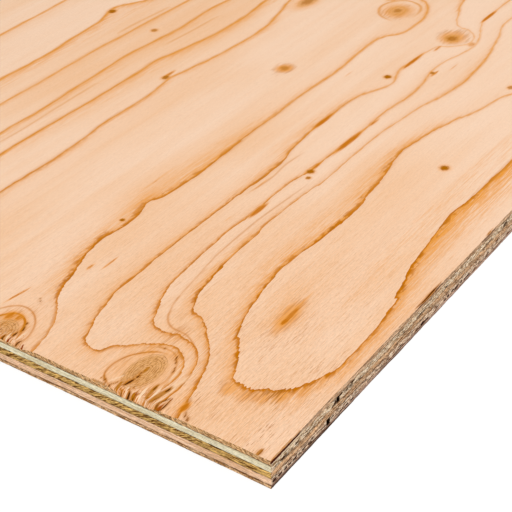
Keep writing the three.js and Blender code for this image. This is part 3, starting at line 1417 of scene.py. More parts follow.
    def marks(self, mix: Recipe, hatch: Socket) -> Socket:
        """Adds streaks, knots, cracks, splits and torn edges.

        Args:
            mix: the material so far.
            hatch: fine dark strokes along the fibres.

        Returns:
            The depth of the hollows, from 0 to 1.
        """
        ragged = mix.times(mix.ripple(mix.flow, (11, 0.7, 20), 37.0, 2.0, 0.6), 1.3)
        resin, glow, torn, pale_and_highlight, ochre, crack = (
            mix.plus(mix.value(name), mix.times(ragged, mix.step(mix.value(name), 0.0, 0.2)))
            for name in ("resin", "glow", "torn", "pale", "ochre", "crack"))
        mix.lay(mix.times(mix.step(glow, 0.1, 1.1), 0.7), self.orange)
        mix.lay(mix.times(mix.step(mix.value("resin"), 0.0, 0.7), 0.6), self.orange)
        mix.lay(mix.times(mix.step(glow, 0.1, 0.5), hatch, 0.4), self.dash)
        mix.lay(mix.times(mix.step(resin, 0.35, 0.9), 0.9), self.resin)
        self.knots(mix)
        self.torn_wood(mix, mix.step(torn, 0.1, 0.5))
        mix.lay(mix.step(mix.value("split"), 0.05, 0.6), self.split)
        # Painted highlight on fibre lips round the knots and splits, over pale wood in places.
        mix.lay(mix.times(mix.step(pale_and_highlight, 0.2, 0.9), 0.85), self.pale_and_highlight)
        mix.lay(mix.times(mix.step(mix.value("rim"), 0.1, 1.0), 0.65), self.rim)
        ochre = mix.step(ochre, 0.25, 0.8)
        mix.lay(mix.times(ochre, 0.85), self.ochre)
        mix.lay(mix.times(mix.step(crack, 0.05, 0.4), 0.75), self.gold)
        crack = mix.step(crack, 0.35, 0.75)
        # Painted shade inside the cracks, which the mesh also sinks.
        mix.lay(mix.times(crack, 0.92), self.crack)
        return mix.most(crack, mix.times(ochre, 0.5))

    def torn_wood(self, mix: Recipe, torn: Socket) -> None:
        """Adds the coarse wood of torn edges and the loose fibres beside the knots.

        Args:
            mix: the material so far.
            torn: how much of a tear there is.
        """
        grit = mix.noise(mix.place, (2.5, 1.1, 0.6), 55.0, 2.0, 0.7)
        gritty = mix.blend(mix.step(grit, 0.35, 0.65), self.torn, self.ochre)
        mix.lay(mix.times(torn, 0.8), gritty)
        strand = mix.value("strand")
        fine = mix.noise(mix.place, (5, 0.8, 20), 59.0, 3.0, 0.65, 0.8)
        # Painted highlight on the loose fibres.
        mix.lay(mix.times(strand, mix.step(fine, 0.36, 0.5, 0.6, 0.0)), self.pale)
        # Resin and gold are the fibres' own colours; the darkest band is painted shade between them.
        for low, high, wood in ((0.5, 0.56, self.resin), (0.57, 0.63, self.gold), (0.66, 0.72, self.crack)):
            mix.lay(mix.times(strand, mix.step(fine, low, high)), wood)

    def knots(self, mix: Recipe) -> None:
        """Adds the knots: halo, wood, grain, rings and heart.

        Args:
            mix: the material so far.
        """
        radius, dark, rings, size = (
            mix.value(name) for name in ("knot", "knot_dark", "knot_rings", "knot_heart"))
        uneven = mix.ripple(mix.place, (3.2, 1.8, 20), 41.0)
        grain = mix.noise(mix.place, (3.6, 0.5, 20), 45.0, 2.0, 0.7)
        rough = mix.plus(radius, mix.times(uneven, 0.35))
        ringed = mix.least(rings, 1.0)
        halo = mix.times(mix.step(rough, 0.7, 2.1, 1.0, 0.0), mix.plus(0.5, mix.times(ringed, -0.22)))
        mix.lay(halo, self.orange)
        body = mix.times(mix.step(rough, 0.8, 1.15, 1.0, 0.0), mix.plus(0.2, mix.times(dark, 0.7)))
        body = mix.times(body, mix.plus(0.75, mix.times(ringed, 0.25)))
        mix.lay(body, mix.blend(ringed, self.halo, self.knot_wood))
        strong = mix.plus(0.25, mix.times(ringed, 0.75))
        mix.lay(mix.times(body, mix.step(grain, 0.3, 0.48, 0.6, 0.0)), self.peach)
        mix.lay(mix.times(body, mix.step(grain, 0.5, 0.62), strong, 0.85), self.knot_ring)
        phase = mix.times(mix.plus(radius, mix.times(uneven, 0.1)), rings, 2.0 * math.pi)
        wave = mix.step(mix.math("COSINE", phase), 0.3, 1.0)
        near = mix.step(rough, 1.0, 1.15, 1.0, 0.0)
        sharp = mix.plus(1.0, mix.times(mix.value("soft"), -0.6))
        clear = mix.times(mix.step(uneven, -0.2, 0.2, 0.1, 0.6), sharp)
        mix.lay(mix.times(wave, near, ringed, clear), self.knot_ring)
        knurl = mix.ripple(mix.place, (1.6, 1.1, 20), 49.0)
        heart = mix.step(mix.plus(mix.over(rough, size), knurl), 0.55, 1.3, 1.0, 0.0)
        mix.lay(mix.times(heart, dark), self.heart)


@dataclass(frozen=True)
class Spot:
    """A dark spot of painted shade on a sawn edge, in mm from the near corner and the floor."""

    along: float
    height: float
    length: float
    tall: float
    strength: float = 1.0


# Holes in the upper crossband's end grain, painted dark as shade.
UPPER_SPOTS = rows_of(
    Spot,
    (10.4, 11.9, 3.6, 1.0), (13.6, 11.5, 2.6, 0.6, 0.7), (4.6, 11.9, 1.6, 0.8, 0.8),
    (23.2, 12.2, 3.0, 1.0, 0.9), (26, 10.9, 1.6, 0.9, 0.5), (56.4, 11.4, 2.2, 1.0),
    (63.0, 14.3, 3.0, 1.2), (58.4, 12.4, 1.6, 1.8), (69, 13.3, 2.2, 1.0, 0.7),
    (73.5, 12.9, 3.2, 1.1, 0.6), (75.5, 14.4, 3.0, 0.9), (82, 11.7, 3.0, 0.8, 0.7),
    (110, 14.6, 5, 0.7, 0.6), (126, 14.5, 5, 0.7, 0.6), (149, 11.6, 9, 1.1, 0.8),
    (178.8, 11.6, 2.4, 1.2, 0.8), (233.5, 11.3, 8, 1.0, 0.6), (255, 12.5, 4, 2.2, 0.9))

# Holes in the lower crossband's end grain, painted dark as shade.
LOWER_SPOTS = rows_of(
    Spot,
    (3.2, 3.7, 2.6, 1.2), (8.2, 3.6, 2.6, 1.1), (12.8, 3.7, 2.2, 1.0), (16.6, 3.6, 2.4, 1.0),
    (21, 3.7, 3.0, 0.9), (25.4, 3.4, 1.8, 0.8, 0.8), (29, 3.7, 2.2, 0.8, 0.9),
    (34.6, 3.3, 2.6, 0.8, 0.9), (30.5, 5.1, 2.4, 0.8, 0.6), (37.2, 4.7, 2.8, 0.8, 0.7),
    (43.0, 4.4, 3.6, 0.7, 0.7), (47.6, 3.9, 3.6, 0.7, 0.8), (55.3, 4.9, 2.6, 0.8, 0.7),
    (60.6, 5.6, 2.4, 0.7, 0.7), (64.6, 2.9, 3.0, 0.9), (69.3, 2.9, 2.6, 0.9),
    (68.4, 5.1, 2.4, 0.7, 0.6), (75, 2.8, 2.6, 1.0, 0.9), (87.8, 5.6, 3.4, 0.7, 0.7),
    (92, 3.4, 3.0, 0.8, 0.6), (100, 4.6, 2.6, 0.8, 0.7), (105, 3.6, 2.4, 0.9, 0.8),
    (112, 4.4, 2.6, 0.8, 0.7), (126.6, 3.8, 3.6, 0.9, 0.8), (140, 4.6, 2.4, 0.8, 0.5),
    (151.3, 3.2, 3.4, 1.4), (156, 3.0, 3.2, 1.0), (168, 3.8, 3.2, 0.9, 0.8), (177.8, 2.9, 2.4, 1.2),
    (182, 3.2, 2.4, 1.1), (187.8, 3.5, 2.4, 1.1), (192, 3.2, 4.4, 1.1), (198.4, 3.4, 2.2, 1.0, 0.9),
    (205, 2.9, 6, 1.2), (221, 3.6, 3, 0.9, 0.6), (232, 3.6, 4, 0.9, 0.6))

# Painted shade in the groove where the face has lifted, and under its torn lips.
FACE_SIDE_SPOTS = (
    Spot(-2, 16.8, 44, 1.6), Spot(14, 16.9, 50, 1.3, 0.5), Spot(158, 17.1, 26, 1.1, 0.7),
    Spot(232, 16.8, 13, 1.6, 0.45), Spot(199, 17.1, 8, 0.8, 0.35), Spot(176, 16.8, 7, 0.9, 0.3))

# Painted shadow along the back veneer's bottom, where the sheet meets the floor.
BACK_SIDE_SPOTS = (Spot(28, 0.7, 84, 1.0, 0.9), Spot(120, 0.7, 90, 0.9, 0.4))


@dataclass(frozen=True)
class CutEdge:
    """A sawn edge of one veneer.

    levels are the heights of the veneer's bottom and top in mm. stroke is the length and
    width of its marks in mm and slant their rise in degrees; past bend, in mm from the near
    corner, they rise by another share of the way. pits and chalk, from 0 to 1, are how many
    dark holes and pale flecks the cut fibres show; the holes are dark with painted shade.
    glue is how dark the lines along its top and bottom are: glue between veneers, a darker
    rim on the face veneer's top, and painted shadow where the back veneer meets the floor.
    spots are listed holes, grooves and torn lips, dark with painted shade. mottle is the
    length and height of its clouds in mm, and depth how strongly they lighten and darken it.
    relief is the height of its marks in mm.
    """

    name: str
    levels: Point
    light: Colour
    dark: Colour
    stroke: Point
    slant: float = 0.0
    pits: float = 0.0
    chalk: float = 0.0
    glue: Point = (0.6, 0.6)
    mottle: Point = (0.9, 0.7)
    depth: float = 0.4
    bend: Point = (0.0, 0.0)
    spots: tuple[Spot, ...] = ()
    glue_and_floor_shade_colour: Colour = (84, 52, 26)
    pit_shade_colour: Colour = (62, 34, 10)
    chalk_colour: Colour = (250, 230, 196)
    relief: float = 0.25

    def material(self) -> Material:
        """Mixes the cut wood: marks, clouds, flecks, holes and spots of painted shade, and seam lines.

        Returns:
            The finished material.
        """
        top = self.levels[1]
        mix = Recipe(self.name, roughness=0.8, gloss=0.05)
        split = mix.add("ShaderNodeSeparateXYZ", mix.spread(mix.place, (1, 1, 1)))
        start = -sheet_corner().sum() / MM
        along, height = mix.plus(split.outputs[0], split.outputs[1], start), split.outputs[2]
        marks = self.strokes(mix, along, height)
        mix.colour = mix.blend(mix.step(marks, 0.42, 0.58), self.dark, self.light)
        long, tall = self.mottle
        mottle = mix.noise(mix.place, (long, long, tall), 3.0 + top, 2.0, 0.7)
        mix.tint(mix.step(mottle, 0.34, 0.66, 1.0 - self.depth, 1.0 + 0.7 * self.depth))
        fleck = mix.noise(mix.place, (2.6, 2.6, 0.5), 6.0 + top, 2.0, 0.6)
        mix.lay(mix.times(mix.step(fleck, 0.52, 0.6), self.chalk), self.chalk_colour)
        patch = mix.noise(mix.place, (11, 11, 2.4), 11.0 + top)
        hole = mix.noise(mix.place, (1.9, 1.9, 0.75), 9.0 + top, 1.0, 0.6)
        # Painted shade in the holes of the cut fibres.
        pit = mix.times(mix.step(mix.plus(hole, mix.times(patch, 0.5)), 0.83, 0.89), self.pits)
        mix.lay(pit, self.pit_shade_colour)
        bare = mix.step(mix.value("bare_edge"), 0.2, 0.8)
        mix.lay(mix.times(bare, mix.step(fleck, 0.4, 0.5, 0.2, 0.6)), self.chalk_colour)
        # Painted shade in the listed holes, grooves and under torn lips.
        spot_shade = self.painted_shade_spots(mix, along, height)
        mix.lay(spot_shade, self.pit_shade_colour)
        seam = self.glue_and_floor_shade_lines(mix, height)
        mix.lay(seam, self.glue_and_floor_shade_colour)
        hollow = (mix.times(pit, -1.2), mix.times(seam, -0.5), mix.times(spot_shade, -1.0))
        return mix.finish(mix.plus(mix.times(marks, 0.7), *hollow), self.relief)

    def painted_shade_spots(self, mix: Recipe, along: Socket, height: Socket) -> Socket:
        """Draws the edge's own spots of painted shade, with ragged rims.

        Args:
            mix: the material so far.
            along: the place along the edge in mm.
            height: the height in mm.

        Returns:
            The amount of painted shade.
        """
        if not self.spots:
            return mix.times(height, 0.0)
        shaky = mix.ripple(mix.place, (1.6, 1.6, 0.9), 19.0, 2.0, 0.6)
        at = mix.join(mix.plus(along, mix.times(shaky, 2.0)), mix.plus(height, mix.times(shaky, 0.6)))
        total = None
        for spot in self.spots:
            far = mix.oval(at, (spot.along, spot.height), (spot.length, spot.tall))
            amount = mix.step(far, 1.2, 1.5, spot.strength, 0.0)
            total = amount if total is None else mix.most(total, amount)
        return total

    def strokes(self, mix: Recipe, along: Socket, height: Socket) -> Socket:
        """Makes the long marks that the saw and the rings leave along the edge.

        Args:
            mix: the material so far.
            along: the place along the edge in mm.
            height: the height in mm.

        Returns:
            Their strength, from 0 to 1 with a mean of a half.
        """
        bottom, top = self.levels
        angle = math.radians(self.slant)
        wander = mix.ripple(mix.place, (22, 22, 9), 1.0 + bottom)
        level = mix.plus(height, mix.times(wander, 2.5))
        past = mix.most(mix.plus(along, -self.bend[0]), 0.0)
        level = mix.plus(level, mix.times(past, self.bend[1]))
        ahead = mix.plus(mix.times(along, math.cos(angle)), mix.times(level, math.sin(angle)))
        above = mix.plus(mix.times(along, -math.sin(angle)), mix.times(level, math.cos(angle)))
        return mix.noise(mix.join(ahead, above), (*self.stroke, 1), top, 2.0, 0.55)

    def glue_and_floor_shade_lines(self, mix: Recipe, height: Socket) -> Socket:
        """Draws broken dark lines along the veneer's top and bottom.

        They are glue between veneers, a darker rim on the face veneer's top, and painted shadow
        where the back veneer meets the floor.

        Args:
            mix: the material so far.
            height: the height in mm.

        Returns:
            The amount of dark glue.
        """
        bottom, top = self.levels
        broken = mix.noise(mix.place, (3.2, 3.2, 1.5), 15.0 + top, 2.0, 0.7)
        share = mix.step(broken, 0.42, 0.56, 0.2, 1.0)
        above = mix.step(mix.less(top, height), 0.1, 0.45, self.glue[0], 0.0)
        below = mix.step(mix.less(height, bottom), 0.1, 0.45, self.glue[1], 0.0)
        return mix.times(mix.most(above, below), share)


@dataclass(frozen=True)
class GlueAndGapShade:
    """Hidden veneer sides, seen only in a core gap: glue brown, near black as painted shade."""

    name: str = "glue_and_gap_shade"
    light: Colour = (44, 27, 14)
    dark: Colour = (32, 18, 8)
    relief: float = 0.2

    def material(self) -> Material:
        """Mixes glue brown, near black as painted shade for the core gaps.

        Returns:
            The finished material.
        """
        mix = Recipe(self.name, roughness=0.6, gloss=0.1)
        cloud = mix.noise(mix.place, (5, 5, 2), 2.0, 3.0, 0.6)
        mix.colour = mix.blend(mix.step(cloud, 0.35, 0.65), self.dark, self.light)
        return mix.finish(cloud, self.relief)


@dataclass(frozen=True)
class StudioFloor:
    """A white floor that shows as plain white and still takes the sheet's soft shadow.

    glow is its own light and albedo how much of the lamps' light it adds, as the camera
    sees it; bounce is how much light it throws back on the sheet.
    """

    name: str = "studio_floor"
    glow: float = 0.86
    albedo: float = 0.2
    bounce: float = 0.8

    def material(self) -> Material:
        """Makes the material.

        Returns:
            The finished material.
        """
        material = bpy.data.materials.new(self.name)
        material.use_nodes = True
        material.node_tree.nodes.clear()
        nodes = Nodes(material.node_tree)
        plain = nodes.add("ShaderNodeBsdfDiffuse", (self.bounce, self.bounce, self.bounce, 1.0))
        dull = nodes.add("ShaderNodeBsdfDiffuse", (self.albedo, self.albedo, self.albedo, 1.0))
        glow = nodes.add("ShaderNodeEmission", (1.0, 1.0, 1.0, 1.0), self.glow)
        seen = nodes.add("ShaderNodeAddShader", dull.outputs[0], glow.outputs[0])
        path = nodes.add("ShaderNodeLightPath").outputs
        rays = (path["Is Camera Ray"], path["Is Glossy Ray"])
        mirrored = nodes.add("ShaderNodeMath", *rays, operation="MAXIMUM")
        mix = nodes.add("ShaderNodeMixShader", mirrored.outputs[0], plain.outputs[0], seen.outputs[0])
        nodes.add("ShaderNodeOutputMaterial", mix.outputs[0])
        return material


# ---- The veneers ----


@dataclass(frozen=True)
class Block:
    """The plain block that a veneer is cut from, in mm from the near corner and the floor."""

    low: Array
    high: Array
    bottom: float
    top: float

    @property
    def thickness(self) -> float:
        """Returns the block's thickness."""
        return self.top - self.bottom

    def share(self, height: Array) -> Array:
        """Returns how far up the block each height is, where 1 is its top."""
        return (height - self.bottom) / (self.top - self.bottom)


@dataclass
class Veneer:
    """One piece of the sheet, in place of the solid of the same name.

    cell and rows are as in Slab. A sawn edge is set back by half of rough on average, and
    by up to rim more beside the glue, within rim_share of the thickness, in mm.
    """

    node: str
    name: str
    slot: str
    cell: Point
    rows: tuple[float, ...]
    finishes: tuple[Material, ...]
    patches: tuple[Patch, ...] = ()
    shown_below: bool = False
    rough: float = 0.18
    rim: float = 0.12
    rim_share: float = 0.08
    seed: int = 1
    obj: bpy.types.Object = field(init=False)

    def build(self) -> bpy.types.Object:
        """Makes, shapes and dresses the piece.

        Returns:
            The finished object.
        """
        low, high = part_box(self.node)
        slab = Slab(low, high, self.cell, self.patches, self.rows, self.shown_below)
        mesh = slab.mesh(self.name)
        places = read_places(mesh)
        near, far = [(np.array(end[:2]) - sheet_corner()) / MM for end in (low, high)]
        self.dress(mesh, places)
        block = Block(near, far, low.z / MM, high.z / MM)
        write_places(mesh, self.shape(places.copy(), block))
        for material in self.finishes:
            mesh.materials.append(material)
        self.obj = bpy.data.objects.new(self.name, mesh)
        bpy.context.scene.collection.objects.link(self.obj)
        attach(self.obj, BODY)
        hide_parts(self.node)
        triangles = sum(len(polygon.vertices) - 2 for polygon in mesh.polygons)
        LOG.info("%s: %d triangles", self.name, triangles)
        return self.obj

    def dress(self, mesh: Mesh, places: Array) -> None:
        """Adds what the materials read from the mesh: nothing for an inner veneer."""

    def shape(self, places: Array, block: Block) -> Array:
        """Roughens the sawn edges, always inwards.

        Args:
            places: the vertices of the plain block, in mm.
            block: the block.

        Returns:
            The moved vertices.
        """
        share = np.clip(block.share(places[:, 2]), 0.0, 1.0)
        rim = np.clip(1.0 - np.minimum(share, 1.0 - share) / self.rim_share, 0.0, 1.0)
        for axis in range(2):
            along = places[:, 1 - axis]
            bite = self.bite(along, places[:, 2], axis) + self.rim * rim
            for end, way in ((block.low[axis], 1.0), (block.high[axis], -1.0)):
                here = np.abs(places[:, axis] - end) < 0.01
                places[here, axis] += way * bite[here]
        return places

    def bite(self, along: Array, height: Array, axis: int) -> Array:
        """How far a sawn edge is set back at each place.

        Args:
            along: the place along the edge, in mm.
            height: the height, in mm.
            axis: 0 for the short edges, 1 for the long ones.

        Returns:
            The set-back in mm, never below zero.
        """
        coarse = waves(along, height, self.seed + 10 * axis, 7.0, 1.2)
        fine = waves(along, height, self.seed + 10 * axis + 3, 1.1, 0.5)
        return self.rough * np.clip(0.5 + 0.35 * coarse + 0.3 * fine, 0.0, 2.0)


@dataclass
class FaceVeneer(Veneer):
    """The face veneer, with its drawn rings, knots, cracks and torn edges.

    Along the near part of the long edge it has come away in a groove, as deep as groove
    says at two rows of its mesh. soft_range and far_range are the distances from the near
    corner, in mm, over which its lines get softer and its finest marks fade. The cracks
    sink by crack_depth mm and the splits by split_depth of the thickness, and never within
    leaf mm of the glue.
    """

    rings: RingField = field(default_factory=RingField)
    knots: tuple[Knot, ...] = KNOTS
    streaks: tuple[Streak, ...] = STREAKS
    arcs: tuple[Arc, ...] = ARCS
    shades: tuple[Shade, ...] = SHADES
    splits: tuple[Split, ...] = SPLITS
    long_tears: tuple[Tear, ...] = LONG_TEARS
    short_tears: tuple[Tear, ...] = SHORT_TEARS
    groove: Point = (0.7, 0.4)
    groove_rows: tuple[int, int] = (2, 3)
    soft_range: Point = (180.0, 480.0)
    far_range: Point = (10.0, 320.0)
    crack_depth: float = 0.5
    split_depth: float = 0.4
    leaf: float = 0.12

    def dress(self, mesh: Mesh, places: Array) -> None:
        """Keeps rings, knots, streaks and the run of the fibres on the mesh.

        Args:
            mesh: the mesh.
            places: its vertices, in mm.
        """
        x, y, z = places.T
        distance = np.hypot(x, y)
        values = self.rings.sample(x, y)
        values["tone"] = self.tone(x, y)
        for tone in Tone:
            values[tone.value] = self.strongest(tone, x, y)
        values["rim"] = self.strongest(Tone.CRACK, x, y, (2.4, 2.2))
        values["split"] = np.max([split.inside(x, y) for split in self.splits], axis=0)
        values["arc_gap"], values["arc"] = self.nearest_arc(x, y)
        values["soft"] = soft_step(distance, *self.soft_range)
        values["far"] = soft_step(distance, *self.far_range)
        values["torn"] = self.torn(x, y)[0]
        bare = (z < self.row_height(self.groove_rows[0]) - 0.5) & (y < 0.01)
        values["bare_edge"] = bare * (1.0 - soft_step(x, 26.0, 36.0))
        values["strand"] = self.strands(x, y)
        for name, value in values.items():
            write_values(mesh, name, value)
        write_knots(mesh, places, self.knots)

    def tone(self, x: Array, y: Array) -> Array:
        """Works out how pale the face is painted: drawn near the corner and cloudy far from it.

        Args:
            x: places along the sheet, in mm.
            y: places across it.

        Returns:
            The tone, from 0 to 1 for peach to pale.
        """
        # Paler away from the corner: the wood's tone, and painted sheen for glare at the far end.
        pale = 0.46 + 0.31 * np.tanh((x + 0.5 * y - 190.0) / 130.0)
        for shade in self.shades:
            pale = pale + shade.amount(x, y)
        far = soft_step(np.hypot(x, y), 550.0, 900.0)
        return (1.0 - far) * pale + far * (0.5 + 0.35 * waves(x, y, 61, 500.0, 200.0))

    def strongest(self, tone: Tone, x: Array, y: Array, wider: Point = (0.0, 0.0)) -> Array:
        """Finds the streaks of one tone.

        Args:
            tone: which streaks.
            x: places along the sheet, in mm.
            y: places across it.
            wider: how much longer and wider than themselves they are taken to be.

        Returns:
            The amount of the strongest streak at each place, from 0 to 1.
        """
        amount = np.zeros(len(x))
        for streak in self.streaks:
            if streak.tone is tone:
                grown = replace(streak, length=streak.length + wider[0], width=streak.width + wider[1])
                amount = np.maximum(amount, grown.amount(x, y))
        return amount

    def nearest_arc(self, x: Array, y: Array) -> tuple[Array, Array]:
        """Finds the nearest of the arcs.

        Args:
            x: places along the sheet, in mm.
            y: places across it.

        Returns:
            The distance to it in mm, with a sign for the side, and its strength.
        """
        reach = 9.0
        gap, strength = np.full(len(x), reach), np.zeros(len(x))
        for arc in self.arcs:
            points = np.asarray(arc.points)
            low, high = points.min(0) - reach, points.max(0) + reach
            near = np.flatnonzero((x > low[0]) & (x < high[0]) & (y > low[1]) & (y < high[1]))
            side, amount = arc.gap(x[near], y[near])
            better = (np.abs(side) < np.abs(gap[near])) & (amount > 0.0)
            amount = amount * np.clip(2.0 - np.abs(side) / 2.5, 0.0, 1.0)
            gap[near[better]], strength[near[better]] = side[better], amount[better]
        return gap, strength

    def strands(self, x: Array, y: Array) -> Array:
        """Finds the loose fibres beside the two knots on the short edge.

        Args:
            x: places along the sheet, in mm.
            y: places across it.

        Returns:
            How much they show, from 0 to 1.
        """
        large = soft_step(y, 66.0, 74.0) * (1.0 - soft_step(y, 94.0, 101.0))
        small = 0.8 * soft_step(y, 158.0, 166.0) * (1.0 - soft_step(y, 184.0, 190.0))
        return np.exp(-((np.maximum(x, 0.0) / 9.0) ** 2)) * np.maximum(large, small)

    def row_height(self, row: int) -> float:
        """Returns the height of one row of the edge's mesh, in mm from the floor."""
        bottom, top = ply_levels(self.node)
        return top - self.rows[row] * (top - bottom)

    def lifted(self, places: Array) -> Array:
        """Finds where the face has come away from the sheet along the long edge.

        Args:
            places: the vertices of the plain block, in mm.

        Returns:
            How far each vertex is set back, in mm.
        """
        x, y, z = places.T
        total = np.zeros(len(x))
        for row, depth, (start, end) in zip(self.groove_rows, self.groove, ((22.0, 36.0), (3.0, 24.0))):
            here = np.abs(z - self.row_height(row)) < 0.1
            total = total + depth * (here * (1.0 - soft_step(x, start, end)))
        return total * (y < 0.01)

    def torn(self, x: Array, y: Array) -> tuple[Array, Array]:
        """Finds where the edges have torn away.

        Args:
            x: places along the sheet, in mm.
            y: places across it.

        Returns:
            How much of a tear there is, from 0 to 1, and how far it drops, in mm.
        """
        amount, sink = np.zeros(len(x)), np.zeros(len(x))
        for tears, along, away in ((self.long_tears, x, y), (self.short_tears, y, x)):
            for tear in tears:
                ragged = tear.share(along) * (1.0 + 0.22 * waves(along, away, 83, 1.6, 3.0))
                slope = np.clip(1.0 - away / (tear.back * np.maximum(ragged, 0.05)), 0.0, 1.0)
                bare = tear.bare * np.clip(ragged, 0.0, 1.0) * np.clip(4.0 * slope, 0.0, 1.0)
                amount = np.maximum(amount, bare)
                sink = np.maximum(sink, tear.drop * np.clip(ragged, 0.0, 1.2) * slope)
        return amount, sink

    def shape(self, places: Array, block: Block) -> Array:
        """Tears the edges, opens the splits and cracks, and roughens the rest.

        Args:
            places: the vertices of the plain block, in mm.
            block: the block.

        Returns:
            The moved vertices.
        """
        x, y, z = places.T.copy()
        places[:, 1] += self.lifted(places)
        sink = self.torn(x, y)[1]
        sink = np.maximum(sink, self.crack_depth * self.strongest(Tone.CRACK, x, y))
        for split in self.splits:
            left = np.clip(1.0 - x / split.depth, 0.0, 1.0)
            drop = self.split_depth * block.thickness * left
            sink = np.maximum(sink, drop * split.inside(x, y))
        sink += 0.03 + 0.02 * np.clip(waves(x, y, 91, 60.0, 12.0), -1.4, 1.4)
        sink = np.minimum(sink, block.thickness - self.leaf)
        places = super().shape(places, block)
        places[:, 2] = block.bottom + block.share(z) * (block.thickness - sink)
        return places


@dataclass
class BackVeneer(Veneer):
    """The back veneer, whose own plainer rings show from below."""

    knots: tuple[Knot, ...] = ()

    def dress(self, mesh: Mesh, places: Array) -> None:
        """Keeps plain rings, knots and fibres on the mesh.

        Args:
            mesh: the mesh.
            places: its vertices, in mm.
        """
        x, y = places.T[:2]
        run, climb = slopes(self.level, x, y)
        write_knots(mesh, places, self.knots)
        values = {
            "ring": self.level(x, y), "run": run, "steep": np.hypot(run, climb),
            "bloom": np.clip(0.5 + 0.25 * waves(x, y, 27, 300.0, 60.0), 0.2, 1.0),
            "tone": 0.35 + 0.3 * waves(x, y, 63, 500.0, 200.0), "soft": np.full(len(x), 0.5),
        }
        for name, value in values.items():
            write_values(mesh, name, value)

    def level(self, x: Array, y: Array) -> Array:
        """Returns the ring surface of the back."""
        slow = 3.4 * np.sin(2.0 * np.pi * y / 640.0 + 0.3 * waves(x, y * 0.0, 7, 800.0, 1.0))
        return slow + 1.2 * waves(x, y, 17, 360.0, 80.0)


# ---- The studio ----


@dataclass(frozen=True)
class Lamp:
    """A square soft lamp that faces the near corner of the sheet.

    Its place is in metres from that corner, its size in metres and its power in watts.
    """

    name: str
    place: tuple[float, float, float]
    size: float
    power: float

    def build(self) -> None:
        """Adds the lamp."""
        data = bpy.data.lights.new(self.name, "AREA")
        data.size = self.size
        data.energy = self.power
        lamp = bpy.data.objects.new(self.name, data)
        lamp.location = Vector((*sheet_corner(), 0.0)) + Vector(self.place)
        lamp.rotation_euler = Vector(self.place).to_track_quat("Z", "Y").to_euler()
        bpy.context.scene.collection.objects.link(lamp)


@dataclass(frozen=True)
class Studio:
    """The camera, the lamps, the pale room and the floor.

    The camera's place is in mm from the sheet's near corner, its directions in degrees and
    its lens in mm. sky is how brightly the room lights the sheet. Half the floor's width,
    how far it lies below the sheet and how near the camera can see are in metres.
    """

    place: tuple[float, float, float] = (-364.534, -251.376, 436.075)
    heading: float = 35.1955
    pitch: float = 34.2151
    roll: float = -1.3419
    lens: float = 90.0
    sensor: float = 36.0
    nearest: float = 0.01
    lamps: tuple[Lamp, ...] = (
        Lamp("key_lamp", (-1.9, -1.5, 1.9), 2.4, 34.6), Lamp("far_lamp", (1.2, -2.2, 2.2), 2.6, 26.0))
    sky: float = 0.7
    floor_half: float = 12.0
    floor_drop: float = 0.0004

    def build(self) -> None:
        """Adds the camera, the lamps, the room and the floor."""
        bpy.context.scene.view_settings.view_transform = "Standard"
        self.add_camera()
        for lamp in self.lamps:
            lamp.build()
        self.add_room()
        self.add_floor()

    def add_camera(self) -> None:
        """Places the camera, with its roll about its own axis."""
        heading, pitch, roll = (math.radians(a) for a in (self.heading, self.pitch, self.roll))
        ahead = Vector((
            math.cos(heading) * math.cos(pitch), math.sin(heading) * math.cos(pitch), -math.sin(pitch)))
        side = Vector((math.sin(heading), -math.cos(heading), 0.0))
        up = side.cross(ahead)
        right = math.cos(roll) * side + math.sin(roll) * up
        above = math.cos(roll) * up - math.sin(roll) * side
        place = Vector((*sheet_corner(), 0.0)) + Vector(self.place) * MM
        data = bpy.data.cameras.new("camera")
        data.lens = self.lens
        data.sensor_width = self.sensor
        data.clip_start = self.nearest
        camera = bpy.data.objects.new("camera", data)
        turn = Matrix((right, above, -ahead)).transposed().to_4x4()
        camera.matrix_world = Matrix.Translation(place) @ turn
        bpy.context.scene.collection.objects.link(camera)
        bpy.context.scene.camera = camera

    def add_room(self) -> None:
        """Adds the pale room: plain white to the camera and less bright on the sheet."""
        world = bpy.data.worlds.new("pale_room")
        world.use_nodes = True
        back = world.node_tree.nodes["Background"]
        back.inputs["Color"].default_value = (1.0, 1.0, 1.0, 1.0)
        nodes = Nodes(world.node_tree)
        seen = nodes.add("ShaderNodeLightPath").outputs["Is Camera Ray"]
        level = nodes.add("ShaderNodeMapRange", seen, 0.0, 1.0, self.sky, 1.0)
        nodes.feed(back.inputs["Strength"], level.outputs[0])
        bpy.context.scene.world = world

    def add_floor(self) -> None:
        """Adds the floor, a wide sheet just under the plywood."""
        bm = bmesh.new()
        bmesh.ops.create_grid(bm, x_segments=8, y_segments=8, size=self.floor_half)
        bmesh.ops.translate(bm, vec=(0.0, 0.0, -self.floor_drop), verts=bm.verts)
        mesh = bpy.data.meshes.new("floor")
        bm.to_mesh(mesh)
        bm.free()
        mesh.materials.append(StudioFloor().material())
        floor = bpy.data.objects.new("floor", mesh)
        bpy.context.scene.collection.objects.link(floor)


# ---- The whole sheet ----


